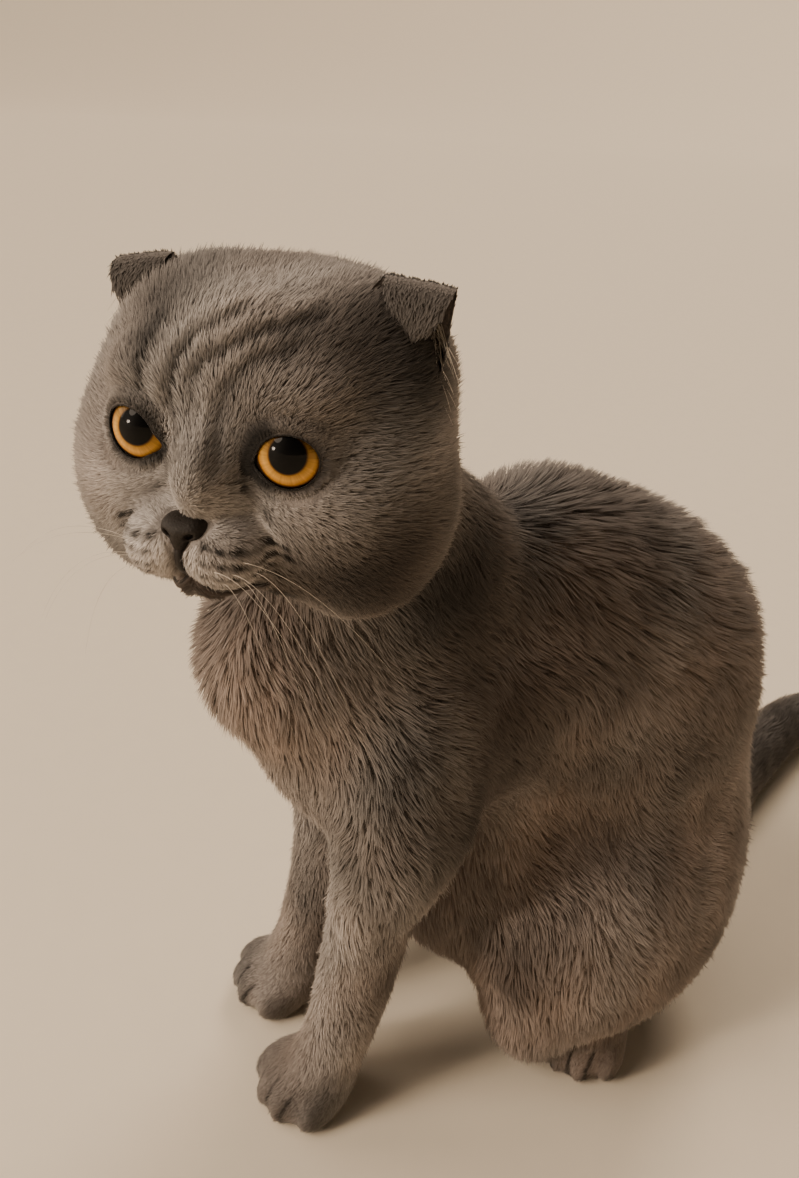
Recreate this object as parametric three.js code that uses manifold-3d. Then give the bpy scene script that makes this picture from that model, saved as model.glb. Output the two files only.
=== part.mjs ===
// A scottish fold tomcat sitting upright, life size, in millimetres: +Z is up, the chest faces -Y, +X is the cat's left.
// Each mass of the body is a closed surface wrapped round a smooth union of ellipsoids, by rays that leave a short spine.
// Sizes are those of the outline of the coat.
import * as THREE from "three";
import { mergeVertices } from "three/addons/utils/BufferGeometryUtils.js";
import Module from "manifold-3d";

const wasm = await Module();
wasm.setup();

// Driving sizes
const seam = 0.35; // what touching nodes keep between them
const trunkBlend = 26; // how softly the masses of the trunk run together
const headBlend = 12;
const muzzleBlend = 5; // how softly the pads and the chin join the head
const muzzleShift = -2.2; // the nose and mouth stand a little to the cat's right of the middle of the eyes
const eyeballRadius = 11;
const eyeOpening = [8.6, 7.6]; // half width and half height between the lids
const lidThickness = 1.4;
const noseWidth = 11;
const lipRadius = 1.5;
const mouthGroove = 1;
const earFlap = { forward: 8.5, down: 12 }; // from the fold to the tip
const earThickness = 3.2;
const pawWidth = 42;
const wristRadius = 17;
const tailRadius = 21;
const toesPerPaw = 4;

// Where things stand, from the point on the floor between the forefeet
const headPlace = [18.7, -18.2, 325.7];
const headTurn = { yaw: 41.8, pitch: -4, roll: 0.7 }; // degrees, the face turned to the cat's left and a little down
const forePaws = { left: [25, -5], right: [-36, 6] };
const wrists = { left: [29, 4], right: [-31, 16] };
const foreToeTurn = { left: 12, right: 6 }; // degrees that the toes point outwards
const hindFoot = [61, 125];
const hindToeTurn = 35;
const boxMiddle = [-5.66, 206.09]; // the middle of the whole outline on the floor, which becomes the origin

const coatGrey = 0x6f645b;
const coatGreyLight = 0x83786d;
const noseGrey = 0x3b322d;
const eyeAmber = 0xc8851e;

const rad = THREE.MathUtils.degToRad;
const { clamp, lerp, smoothstep } = THREE.MathUtils;
const vec = (...p) => new THREE.Vector3(...p);
const sides = { left: 1, right: -1 };

// One ellipsoid: its centre, its three radii, and degrees of turn about x, y and z
function blob(centre, radii, turn = [0, 0, 0]) {
  const place = new THREE.Matrix4().makeRotationFromEuler(new THREE.Euler(...turn.map(rad))).setPosition(...centre);
  return { inverse: place.invert(), radii: vec(...radii) };
}

// The same ellipsoid on both sides of the middle plane
function pair(centre, radii, turn = [0, 0, 0]) {
  const [x, y, z] = turn;
  return [1, -1].map((side) => blob([centre[0], side * centre[1], centre[2]], radii, [side * x, y, side * z]));
}

function blobDistance(one, point) {
  const q = point.clone().applyMatrix4(one.inverse).divide(one.radii);
  const reach = q.length();
  const slope = q.divide(one.radii).length();
  return slope < 1e-9 ? -one.radii.x : (reach * (reach - 1)) / slope;
}

// The lesser of two distances, rounded off where they differ by less than `soft`
function softMin(a, b, soft) {
  const overlap = Math.max(soft - Math.abs(a - b), 0) / soft;
  return Math.min(a, b) - (overlap * overlap * soft) / 4;
}

// The distance to a smooth union: surfaces nearer than `soft` flow into each other
function fieldOf(blobs, soft) {
  return (point) => blobs.map((one) => blobDistance(one, point)).reduce((near, next) => softMin(near, next, soft));
}

// The outermost place along a ray where the field turns from outside to inside
function surfaceAlong(field, origin, direction, reach) {
  const stride = 4;
  const fine = 0.01;
  const at = (t) => field(origin.clone().addScaledVector(direction, t));
  let outer = reach;
  while (outer > 0 && at(outer) > 0) outer -= stride;
  let inner = Math.max(outer, 0);
  outer = inner + stride;
  while (outer - inner > fine) {
    const middle = (inner + outer) / 2;
    if (at(middle) < 0) inner = middle;
    else outer = middle;
  }
  return inner;
}

// A closed surface round a path: its rings leave the path square on and fan out over a cap at each end.
// `distance(origin, direction, share)` says how far it lies along each ray.
function wrap(path, distance, { rings, around, cap = 0.25, frame = new THREE.Matrix4() }) {
  const curve = new THREE.CatmullRomCurve3(path.map((p) => vec(...p)), false, "centripetal");
  const frames = curve.computeFrenetFrames(rings, false);
  const geometry = new THREE.SphereGeometry(1, around, rings);
  const position = geometry.getAttribute("position");
  const uv = geometry.getAttribute("uv");
  for (let i = 0; i < position.count; i++) {
    const along = 1 - uv.getY(i);
    const share = clamp((along - cap) / (1 - 2 * cap), 0, 1);
    const before = Math.min(along / cap - 1, 0);
    const after = Math.max(1 - (1 - along) / cap, 0);
    const lean = ((before + after) * Math.PI) / 2;
    const turn = uv.getX(i) * 2 * Math.PI;
    const step = Math.round(share * rings);
    const direction = vec(0, 0, 0)
      .addScaledVector(frames.normals[step], Math.cos(turn) * Math.cos(lean))
      .addScaledVector(frames.binormals[step], Math.sin(turn) * Math.cos(lean))
      .addScaledVector(frames.tangents[step], Math.sin(lean));
    const origin = curve.getPointAt(share);
    const far = distance(origin, direction, share);
    position.setXYZ(i, ...origin.addScaledVector(direction, far).toArray());
  }
  return solidOf(geometry.applyMatrix4(frame));
}
const onField = (field, reach, grow = 0) => (origin, direction) =>
  surfaceAlong(field, origin, direction, reach) + grow;

// Between manifold solids and three.js geometry
function solidOf(geometry) {
  const bare = new THREE.BufferGeometry();
  bare.setAttribute("position", geometry.getAttribute("position"));
  bare.setIndex(geometry.index);
  const merged = mergeVertices(bare, 1e-3);
  const vertProperties = merged.attributes.position.array;
  const triVerts = new Uint32Array(merged.index.array);
  const made = () => new wasm.Manifold(new wasm.Mesh({ numProp: 3, vertProperties, triVerts }));
  if (made().volume() > 0) return made();
  for (let i = 0; i < triVerts.length; i += 3) triVerts.subarray(i, i + 2).reverse();
  return made();
}
function geometryOf(solid) {
  const parts = solid.decompose().sort((a, b) => b.volume() - a.volume());
  const { vertProperties, triVerts } = parts[0].getMesh();
  const geometry = new THREE.BufferGeometry();
  geometry.setAttribute("position", new THREE.BufferAttribute(vertProperties, 3));
  geometry.setIndex(new THREE.BufferAttribute(triVerts, 1));
  geometry.computeVertexNormals();
  return geometry;
}
const joined = (solids) => solids.reduce((whole, next) => whole.add(next));
const cutBy = (solid, cutters) => cutters.reduce((whole, next) => whole.subtract(next), solid);
const ellipsoid = (centre, radii, turn = [0, 0, 0], segments = 20) =>
  solidOf(
    new THREE.SphereGeometry(1, segments, segments * 0.7)
      .scale(...radii)
      .applyMatrix4(
        new THREE.Matrix4().makeRotationFromEuler(new THREE.Euler(...turn.map(rad))).setPosition(...centre),
      ),
  );

// The head has its own axes: x out of the face, y to the cat's left, z up
const headGroup = new THREE.Group();
headGroup.position.set(...headPlace);
headGroup.rotation.set(rad(headTurn.roll), rad(-headTurn.pitch), rad(headTurn.yaw - 90), "ZYX");
headGroup.updateMatrix();

const skullField = fieldOf(
  [
    blob([-12, 0, 4], [48, 52, 39]),
    ...pair([-4, 24, 12], [32, 30, 30]),
    ...pair([8, 31.5, -20], [34, 31.5, 41]),
    blob([12, 0, -4], [30, 44, 34]),
    blob([18, 0, 14], [23, 34, 26]),
    ...pair([30, 21, 18], [10, 14, 8]),
    ...pair([32, 28, -16], [13, 17, 15]),
    ...pair([28, 15, -33], [16, 15, 12]),
    blob([42, 0, -5], [15.5, 10, 14]),
  ],
  headBlend,
);
const muzzleField = fieldOf([...pair([47.5, 10, -24.8], [13.8, 12.9, 11.4]), blob([40.5, 0, -37.6], [12, 11.5, 8.2])], 3);
const headField = (point) =>
  softMin(skullField(point), muzzleField(point.clone().sub(vec(0, muzzleShift, 0))), muzzleBlend);
const headSpine = [
  [-16, 0, 0],
  [22, 0, -8],
];
const head = (grow, frame) =>
  wrap(headSpine, onField(headField, 100, grow), { rings: 32, around: 28, cap: 0.4, frame });
const onFace = (left, up, lift = 0) => [surfaceAlong(headField, vec(0, left, up), vec(1, 0, 0), 90) + lift, left, up];

// Eyes: a ball, with lids as one ring that hugs it
const eyePlaces = Object.values(sides).map((side) => ({ centre: [33.5, side * 22.5, 3], turn: [0, -4, side * 14] }));
const onEyeAxis = ({ centre, turn }, ahead) =>
  vec(ahead, 0, 0).applyEuler(new THREE.Euler(...turn.map(rad))).add(vec(...centre)).toArray();
const socket = (eye) => ellipsoid(onEyeAxis(eye, 12), [9, 13.5, 12.5], eye.turn, 14);
function lids({ centre, turn }) {
  const ring = new THREE.TorusGeometry(1, lidThickness / eyeOpening[1], 5, 18);
  ring.scale(eyeOpening[0] + lidThickness, eyeOpening[1] + lidThickness, lidThickness * 3.2);
  ring.rotateX(Math.PI / 2).rotateZ(Math.PI / 2);
  ring.translate(Math.sqrt(eyeballRadius ** 2 - eyeOpening[0] ** 2) + 0.4, 0, 0);
  const place = new THREE.Matrix4().makeRotationFromEuler(new THREE.Euler(...turn.map(rad))).setPosition(...centre);
  return solidOf(ring.applyMatrix4(place));
}
const eyeball = ({ centre, turn }, grow) => ellipsoid(centre, Array(3).fill(eyeballRadius + grow), turn, 14);

// Mouth: a groove down from the nose and out under each pad, between an upper and a lower lip
const mouthLine = [
  [0, -31.5],
  [2.5, -35.2],
  [6, -37.8],
  [11, -38.6],
  [16, -37.6],
  [20.5, -34.6],
];
const mouthPath = (side, rise, lift) =>
  mouthLine.map(([left, up]) => onFace(muzzleShift + side * left, up + rise, lift));
const roll = (path, radius) => wrap(path, () => radius, { rings: 10, around: 5, cap: 0.12 });

const noseField = fieldOf(
  [
    blob([53.4, 0, -16], [5.2, noseWidth / 2, 2.9]),
    blob([54.2, -0.6, -19.5], [4.6, 2.7, 4.3]),
    ...pair([52.6, 4, -16.5], [4.8, 2.6, 2.8]),
  ],
  3,
);
const noseWrap = (grow) => {
  const spine = [
    [51.3, 0, -17.2],
    [53.3, 0, -17.7],
  ];
  const frame = new THREE.Matrix4().makeTranslation(0, muzzleShift, 0);
  return wrap(spine, onField(noseField, 14, grow), { rings: 12, around: 14, cap: 0.42, frame });
};
const nostril = (side) =>
  ellipsoid([58, muzzleShift + side * 3.4, -17.4], [2.4, 1.6, 1], [side * 30, 0, side * 30], 10);

// Ears: a wall that stands on a root bowed backwards, folded over forwards at its top into a short flap
const earRoot = { inner: [4, 29, 38], outer: [2, 52, 8], bow: 16 };
const earFold = { left: [[-4, 34, 43.5], [-3, 55.5, 42.5]], right: [[-4, 34, 42], [-3, 53, 38.5]] };
function ear(name) {
  const side = sides[name];
  const [foldInner, foldOuter] = earFold[name];
  const geometry = new THREE.BoxGeometry(2, 1, 1, 12, 12, 1);
  const position = geometry.getAttribute("position");
  const foldShare = 0.6;
  const mirror = ([x, y, z]) => vec(x, side * y, z);
  const point = (s, t) => {
    const across = (s + 1) / 2;
    const root = mirror(earRoot.inner).lerp(mirror(earRoot.outer), across);
    root.x -= earRoot.bow * (1 - s * s);
    const crest = mirror(foldInner).lerp(mirror(foldOuter), across);
    const wall = clamp(t / foldShare, -1, 1);
    const place = root.clone().lerp(crest, wall);
    if (t < foldShare) return place;
    const past = (t - foldShare) / (1 - foldShare);
    const middle = mirror(foldInner).lerp(mirror(foldOuter), 0.5);
    const narrowed = middle.lerp(crest, Math.sqrt(1 - (past * 0.95) ** 2));
    const bend = (past * Math.PI) / 2;
    const over = earFlap.forward * Math.sin(bend);
    return narrowed.add(vec(over, side * over * 0.1, -earFlap.down * (1 - Math.cos(bend))));
  };
  for (let i = 0; i < position.count; i++) {
    const s = position.getX(i);
    const t = lerp(-0.35, 1, position.getY(i) + 0.5);
    const here = point(s, t);
    const ds = point(s + 0.02, t).sub(point(s - 0.02, t));
    const dt = point(s, t + 0.02).sub(point(s, t - 0.02));
    const normal = ds.cross(dt).normalize();
    position.setXYZ(i, ...here.addScaledVector(normal, position.getZ(i) * earThickness).toArray());
  }
  return solidOf(geometry);
}

// Trunk, with the shoulders and haunches that the legs share
const trunkField = fieldOf(
  [
    blob([0, 50, 192], [54, 54, 66]),
    blob([0, 106, 210], [60, 66, 68]),
    blob([0, 152, 172], [72, 71, 86]),
    blob([0, 178, 86], [73, 59, 86]),
    blob([0, 102, 97], [58, 60, 60]),
    blob([0, 10, 223], [45, 48.5, 45]),
    blob([0, 24, 181], [36, 34, 38]),
    blob([44, 25, 170], [24, 24, 50]),
    blob([-44, 25, 170], [24, 24, 50]),
    blob([57, 131, 82], [40, 60, 60]),
    blob([-57, 131, 82], [40, 60, 60]),
    blob([46, 98, 34], [26, 20, 27]),
    blob([-46, 98, 34], [26, 20, 27]),
  ],
  trunkBlend,
);
const trunkSpine = [
  [0, 58, 205],
  [0, 104, 172],
  [0, 142, 100],
];
const trunk = (grow) => wrap(trunkSpine, onField(trunkField, 150, grow), { rings: 30, around: 28, cap: 0.3 });

const neckField = fieldOf([blob([2, 40, 258], [44, 44, 40]), blob([8, 12, 290], [40, 40, 34])], 20);
const neckSpine = [
  [3, 34, 262],
  [8, 12, 288],
];

// Parts of the trunk that belong to the legs
const shoulderCut = (side, grow) =>
  ellipsoid([side * 66, 22, 158], [42 + grow, 29 + grow, 56 + grow], [0, 0, 0], 16);
const haunchCut = (side, grow) =>
  ellipsoid([side * 82, 124, 66], [50 + grow, 68 + grow, 72 + grow], [0, 0, 0], 18);

// Feet: a round paw with its toes in a row
function paw([x, y], turn, side, heel, grow = 0) {
  const outwards = side * rad(turn);
  const ahead = vec(Math.sin(outwards), -Math.cos(outwards), 0);
  const beside = vec(Math.cos(outwards), Math.sin(outwards), 0);
  const at = (front, across, z) => [
    x + ahead.x * front + beside.x * across,
    y + ahead.y * front + beside.y * across,
    z,
  ];
  const degrees = (outwards * 180) / Math.PI;
  const blobs = [
    blob(at(-6, 0, 11), [pawWidth * 0.48, 21, 17], [0, 0, degrees]),
    ...heel.map(([front, z, radii]) => blob(at(front, 0, z), radii, [0, 0, degrees])),
  ];
  for (let toe = 0; toe < toesPerPaw; toe++) {
    const place = toe - (toesPerPaw - 1) / 2;
    const forward = 8 - 3.4 * place * place;
    blobs.push(blob(at(forward, place * 10, 9), [6.6, 11.5, 10.5], [0, 0, degrees + place * 11]));
  }
  const back = heel.length ? heel[heel.length - 1] : [-8, 14];
  return wrap([at(back[0], 0, back[1]), at(-2, 0, 13), at(6, 0, 10)], onField(fieldOf(blobs, 7), 70, grow), {
    rings: 16,
    around: 18,
    cap: 0.34,
  });
}

function limb(path, radii, rings = 12, around = 12) {
  const radiusAt = (share) => {
    const place = share * (radii.length - 1);
    const below = Math.min(Math.floor(place), radii.length - 2);
    return lerp(radii[below], radii[below + 1], smoothstep(place - below, 0, 1));
  };
  return wrap(path, (origin, direction, share) => radiusAt(share), { rings, around, cap: 0.12 });
}

function foreleg(name, grow) {
  const side = sides[name];
  const [x, y] = wrists[name];
  const path = [
    [x, y, 20],
    [x, y + 9, 48],
    [side * 30, y + 16, 88],
    [side * 36, y + 18, 130],
    [side * 43, 31, 165],
  ];
  return limb(path, [wristRadius - 1, wristRadius, wristRadius + 3, wristRadius + 5, wristRadius + 6].map((r) => r + grow));
}

const tailPath = [
  [-2, 222, 34],
  [-16, 256, 24],
  [-42, 306, 20],
  [-72, 372, 20],
  [-90, 430, 18],
  [-88, 478, 14],
];
const tail = (grow) =>
  limb(tailPath, [tailRadius + 2, tailRadius, tailRadius, tailRadius, tailRadius - 2, 12].map((r) => r + grow), 20, 14);

// The floor cuts every foot, the rump and the tail flat
const aboveFloor = solidOf(new THREE.BoxGeometry(1000, 1400, 800).translate(0, 200, 400));

const cat = new THREE.Group();
cat.position.set(-boxMiddle[0], -boxMiddle[1], 0);
cat.add(headGroup);
function place(group, name, solid, colour, roughness) {
  const material = new THREE.MeshStandardMaterial({ color: colour, roughness, metalness: 0 });
  const mesh = new THREE.Mesh(geometryOf(solid), material);
  mesh.name = name;
  group.add(mesh);
}

const sideNames = Object.keys(sides);
const forelegs = Object.fromEntries(
  sideNames.map((name) => {
    const side = sides[name];
    const shoulder = trunk(0).intersect(shoulderCut(side, 0));
    return [name, joined([shoulder, foreleg(name, 0), paw(forePaws[name], foreToeTurn[name], side, [])])];
  }),
);
const hindHeel = [
  [-8, 24, [20, 22, 20]],
  [-30, 16, [16, 24, 16]],
  [-52, 20, [18, 26, 20]],
];
const hindPaw = (side, grow) => paw([side * hindFoot[0], hindFoot[1]], hindToeTurn, side, hindHeel, grow);

const torso = cutBy(
  trunk(0),
  sideNames.flatMap((name) => [
    shoulderCut(sides[name], seam),
    foreleg(name, seam + 0.2),
    haunchCut(sides[name], seam),
    hindPaw(sides[name], seam + 0.3),
  ]),
);
place(cat, "torso", torso.intersect(aboveFloor), coatGrey, 0.95);

const neck = cutBy(wrap(neckSpine, onField(neckField, 90), { rings: 14, around: 20 }), [
  trunk(seam + 0.3),
  head(seam + 0.3, headGroup.matrix),
]);
place(cat, "neck", neck, coatGrey, 0.95);

for (const name of sideNames) {
  const side = sides[name];
  place(cat, `foreleg_${name}`, forelegs[name].intersect(aboveFloor), coatGreyLight, 0.95);
  const haunch = trunk(0).intersect(haunchCut(side, 0));
  place(cat, `hindleg_${name}`, haunch.add(hindPaw(side, 0)).intersect(aboveFloor), coatGrey, 0.95);
}
place(cat, "tail", tail(0).subtract(trunk(seam + 0.3)).intersect(aboveFloor), coatGrey, 0.95);

const lips = Object.values(sides).flatMap((side) => [
  roll(mouthPath(side, lipRadius, -0.9), lipRadius),
  roll(mouthPath(side, -lipRadius, -0.9), lipRadius),
]);
const mouthCuts = Object.values(sides).map((side) => roll(mouthPath(side, 0, 0.3), mouthGroove));
const philtrum = roll([-22, -27, -32].map((up) => onFace(muzzleShift - 0.7, up, 0.2)), mouthGroove);
const face = joined([cutBy(head(0), eyePlaces.map(socket)), ...eyePlaces.map(lids), ...lips]);
const wholeHead = cutBy(face, [
  ...eyePlaces.map((eye) => eyeball(eye, seam)),
  ...mouthCuts,
  philtrum,
  noseWrap(seam),
]);
place(headGroup, "head", wholeHead, coatGreyLight, 0.95);
place(headGroup, "nose", cutBy(noseWrap(0), [nostril(1), nostril(-1)]), noseGrey, 0.5);
for (const [i, name] of sideNames.entries()) {
  place(headGroup, `ear_${name}`, ear(name).subtract(head(seam + 0.2)), coatGrey, 0.95);
  place(headGroup, `eye_${name}`, eyeball(eyePlaces[i], 0), eyeAmber, 0.1);
}

export default cat;
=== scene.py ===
# A Scottish Fold tomcat sitting upright, in metres. One skin runs under the coat, tufts over the skin are the
# coat, and the eyes, lids, nose, lips, ears, whiskers and claws are pieces of their own.
import bpy
import numpy as np
from mathutils import Matrix, Vector


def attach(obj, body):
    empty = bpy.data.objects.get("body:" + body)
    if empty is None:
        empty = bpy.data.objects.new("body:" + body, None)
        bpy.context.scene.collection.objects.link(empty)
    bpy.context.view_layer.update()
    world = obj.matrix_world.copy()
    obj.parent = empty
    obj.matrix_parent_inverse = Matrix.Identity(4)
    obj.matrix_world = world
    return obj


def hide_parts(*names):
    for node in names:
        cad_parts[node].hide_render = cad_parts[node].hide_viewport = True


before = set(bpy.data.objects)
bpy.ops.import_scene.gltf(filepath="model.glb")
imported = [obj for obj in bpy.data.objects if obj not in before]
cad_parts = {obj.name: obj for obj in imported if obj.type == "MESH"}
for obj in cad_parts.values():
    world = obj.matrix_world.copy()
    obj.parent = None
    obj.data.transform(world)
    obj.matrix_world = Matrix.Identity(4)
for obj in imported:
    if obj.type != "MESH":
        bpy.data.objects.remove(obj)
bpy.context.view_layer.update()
print("frame loaded:", len(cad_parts), "nodes")

# Shapes are worked out in millimetres from the point on the floor between the forefeet
mm = 0.001
footPoint = np.array([5.66, -206.09, 0.0])  # where that point lies in the frame
rng = np.random.default_rng(11)
sides = {"left": 1, "right": -1}

headPose = {"place": (18.7, -18.2, 325.7), "yaw": 41.8, "pitch": -4.0, "roll": 0.7}
eyeShape = {
    "centre": (33.5, 22.5, 3.0),  # in the head's axes: out of the face, to the left, up
    "turn": (0.0, -4.0, 14.0),
    "radius": 11.0,
    "opening": (8.4, 7.2, 8.0),  # half width, height over the middle, height under it
    "gaze": {"left": (0.0, -17.0, 15.0), "right": (0.0, -17.0, 7.0)},
}
headMasses = [
    # centre, radii, on both sides
    ((-12, 0, 4), (48, 52, 39), False),
    ((-4, 24, 12), (32, 30, 30), True),
    ((8, 31.5, -20), (34, 31.5, 41), True),
    ((12, 0, -4), (30, 44, 34), False),
    ((18, 0, 14), (23, 34, 26), False),
    ((30, 21, 18), (10, 14, 8), True),
    ((32, 28, -16), (13, 17, 15), True),
    ((28, 15, -33), (16, 15, 12), True),
    ((42, 0, -5), (15.5, 10, 14), False),
]
muzzleMasses = [
    ((47.5, 10, -24.8), (13.8, 12.9, 11.4), True),
    ((40.5, 0, -37.6), (12, 11.5, 8.2), False),
]
muzzleShift = np.array([0, -2.2, 0])  # the nose and mouth stand a little to the right of the eyes' middle
noseSink = np.array([-1.1, 0, 0])  # the nose lies as deep under the coat's outline as the skin beside it
noseMasses = [
    ((53.4, 0, -16.2), (5.2, 5.4, 2.6)),
    ((54.2, -0.6, -19.6), (4.6, 2.5, 4.2)),
    ((52.6, 4.0, -16.6), (4.8, 2.6, 2.5)),
    ((52.6, -4.0, -16.6), (4.8, 2.6, 2.5)),
]
neckMasses = [((2, 40, 258), (44, 44, 40)), ((8, 12, 290), (40, 40, 34))]
trunkMasses = [
    ((0, 50, 192), (54, 54, 66)),
    ((0, 106, 210), (60, 66, 68)),
    ((0, 152, 172), (72, 71, 86)),
    ((0, 178, 86), (73, 59, 86)),
    ((0, 102, 97), (58, 60, 60)),
    ((0, 10, 223), (45, 48.5, 45)),
    ((0, 24, 181), (36, 34, 38)),
    ((44, 25, 170), (24, 24, 50)),
    ((-44, 25, 170), (24, 24, 50)),
    ((57, 131, 82), (40, 60, 60)),
    ((-57, 131, 82), (40, 60, 60)),
    ((46, 98, 34), (26, 20, 27)),
    ((-46, 98, 34), (26, 20, 27)),
]
hindHeel = [(-8, 24, (20, 22, 20)), (-30, 16, (16, 24, 16)), (-52, 20, (18, 26, 20))]
paws = {
    "foreLeft": {"place": (25, -5), "turn": 12, "heel": []},
    "foreRight": {"place": (-36, 6), "turn": -6, "heel": []},
    "hindLeft": {"place": (61, 125), "turn": 35, "heel": hindHeel},
    "hindRight": {"place": (-61, 125), "turn": -35, "heel": hindHeel},
}
toePlaces = (-1.5, -0.5, 0.5, 1.5)
pawShape = {
    "dome": (-6, 0, 11),  # ahead, beside, up from the paw's place
    "domeRadii": (20, 21, 17),
    "toesAhead": 8,
    "toesBow": 3.4,
    "toesApart": 10,
    "toesHigh": 9,
    "toesSpread": 11,  # degrees between the toes
    "toeRadii": (6.6, 11.5, 10.5),
}
forelegs = {
    "left": ((29, 4, 20), (29, 13, 48), (30, 20, 88), (36, 22, 130), (43, 31, 165)),
    "right": ((-31, 16, 20), (-31, 25, 48), (-30, 32, 88), (-36, 34, 130), (-43, 31, 165)),
}
forelegRadii = (16, 17, 20, 22, 23)
tailPath = ((-2, 222, 34), (-16, 256, 24), (-42, 306, 20), (-72, 372, 20), (-90, 430, 18), (-88, 478, 14))
tailRadii = (23, 21, 21, 21, 19, 12)


# Rotation matrix Rx(x) Ry(y) Rz(z), angles in degrees
def turned(x, y, z):
    cx, cy, cz = np.cos(np.radians([x, y, z]))
    sx, sy, sz = np.sin(np.radians([x, y, z]))
    aboutX = np.array([[1, 0, 0], [0, cx, -sx], [0, sx, cx]])
    aboutY = np.array([[cy, 0, sy], [0, 1, 0], [-sy, 0, cy]])
    aboutZ = np.array([[cz, -sz, 0], [sz, cz, 0], [0, 0, 1]])
    return aboutX @ aboutY @ aboutZ


headTurn = turned(0, 0, headPose["yaw"] - 90) @ turned(0, -headPose["pitch"], 0)
headTurn = headTurn @ turned(headPose["roll"], 0, 0)
headPlace = np.array(headPose["place"])


# Head's axes from the floor's axes and back: q = (p - c) R, p = q R^T + c
def toHead(points):
    return (points - headPlace) @ headTurn


def fromHead(points):
    return np.asarray(points) @ headTurn.T + headPlace


# 3 x^2 - 2 x^3 of x = (value - start) / (end - start), held to 0..1
def ease(value, start, end):
    x = np.clip((value - start) / (end - start), 0, 1)
    return x * x * (3 - 2 * x)


# exp(-(x / w)^2): 1 at x = 0, a hill w wide on each side
def hill(value, width):
    return np.exp(-((value / width) ** 2))


# Vectors divided by their lengths
def unit(vectors):
    return vectors / np.maximum(np.linalg.norm(vectors, axis=-1, keepdims=True), 1e-9)


# What is left of v after its share along the unit vector n: v - (v . n) n, made unit
def tangent(vectors, normals):
    return unit(vectors - np.sum(vectors * normals, axis=-1, keepdims=True) * normals)


# Soft union of two distances: min(a, b) - k h^2 / 4 with h = max(k - |a - b|, 0) / k
def softMin(a, b, soft):
    overlap = np.maximum(soft - np.abs(a - b), 0) / soft
    return np.minimum(a, b) - overlap * overlap * soft / 4


# Distance to an ellipsoid: q = R^T (p - c) / r, d = |q| (|q| - 1) / |q / r|
def blobDistance(points, centre, radii, turn=(0, 0, 0)):
    q = (points - np.array(centre, float)) @ turned(*turn) / np.array(radii, float)
    reach = np.linalg.norm(q, axis=-1) + 1e-6
    slope = np.linalg.norm(q / np.array(radii, float), axis=-1) + 1e-9
    return reach * (reach - 1) / slope


# Soft union of several ellipsoids
def massField(points, masses, soft):
    total = blobDistance(points, *masses[0])
    for mass in masses[1:]:
        total = softMin(total, blobDistance(points, *mass), soft)
    return total


# Points on a smooth path through knots: per knot pair the cubic with the slopes (next - previous) / 2
def smoothPath(knots, count):
    knots = np.array(knots, float)
    slopes = np.gradient(knots, axis=0)
    share = np.linspace(0, len(knots) - 1, count)
    start = np.minimum(share.astype(int), len(knots) - 2)
    t = (share - start)[:, None]
    a, b = knots[start], knots[start + 1]
    ta, tb = slopes[start], slopes[start + 1]
    return (
        (2 * t**3 - 3 * t**2 + 1) * a
        + (t**3 - 2 * t**2 + t) * ta
        + (3 * t**2 - 2 * t**3) * b
        + (t**3 - t**2) * tb
    )


# Distance to a tube: over its straight pieces, min(|p - foot| - radius at the foot)
def tubeDistance(points, path, radii):
    best = np.full(len(points), 1e3)
    for a, b, ra, rb in zip(path[:-1], path[1:], radii[:-1], radii[1:]):
        along = np.clip((points - a) @ (b - a) / np.dot(b - a, b - a), 0, 1)
        foot = a + along[:, None] * (b - a)
        best = np.minimum(best, np.linalg.norm(points - foot, axis=1) - (ra + (rb - ra) * along))
    return best


# Place on a paw from its own measures: ahead is (sin a, -cos a), beside is (cos a, sin a)
def onPaw(paw, front, across, height):
    a = np.radians(paw["turn"])
    x, y = paw["place"]
    return (
        x + np.sin(a) * front + np.cos(a) * across,
        y - np.cos(a) * front + np.sin(a) * across,
        height,
    )


# The ellipsoids of a paw: a dome, its toes in a row bowed by 3.4 t^2, and what lies behind a hind foot
def pawMasses(paw):
    turn = paw["turn"]
    masses = [(onPaw(paw, *pawShape["dome"]), pawShape["domeRadii"], (0, 0, turn))]
    masses += [(onPaw(paw, front, 0, z), radii, (0, 0, turn)) for front, z, radii in paw["heel"]]
    for place in toePlaces:
        ahead = pawShape["toesAhead"] - pawShape["toesBow"] * place * place
        toe = onPaw(paw, ahead, place * pawShape["toesApart"], pawShape["toesHigh"])
        masses.append((toe, pawShape["toeRadii"], (0, 0, turn + place * pawShape["toesSpread"])))
    return masses


# Masses of the head with those of both sides written out
def onBothSides(masses):
    found = []
    for centre, radii, both in masses:
        found += [((centre[0], side * centre[1], centre[2]), radii) for side in ((1, -1) if both else (1,))]
    return found


headBlobs = onBothSides(headMasses)
muzzleBlobs = onBothSides(muzzleMasses)


# Outline of the head in its own axes: the skull, with the pads and the chin joined less softly
def headField(q):
    return softMin(massField(q, headBlobs, 12), massField(q - muzzleShift, muzzleBlobs, 3), 5)


# A part of the body: its distance function, the box it matters in, and how softly it joins the others
def bodyPart(field, low, high, soft):
    return {"field": field, "low": np.array(low, float), "high": np.array(high, float), "soft": soft}


# A part that is a tube round a smooth path, with a radius for each knot
def tubePart(knots, radii, soft):
    path = smoothPath(knots, 4 * len(knots))
    widths = np.interp(np.linspace(0, 1, len(path)), np.linspace(0, 1, len(radii)), radii)
    margin = max(radii) + 30
    low, high = path.min(0) - margin, path.max(0) + margin
    return bodyPart(lambda p: tubeDistance(p, path, widths), low, high, soft)


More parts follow.
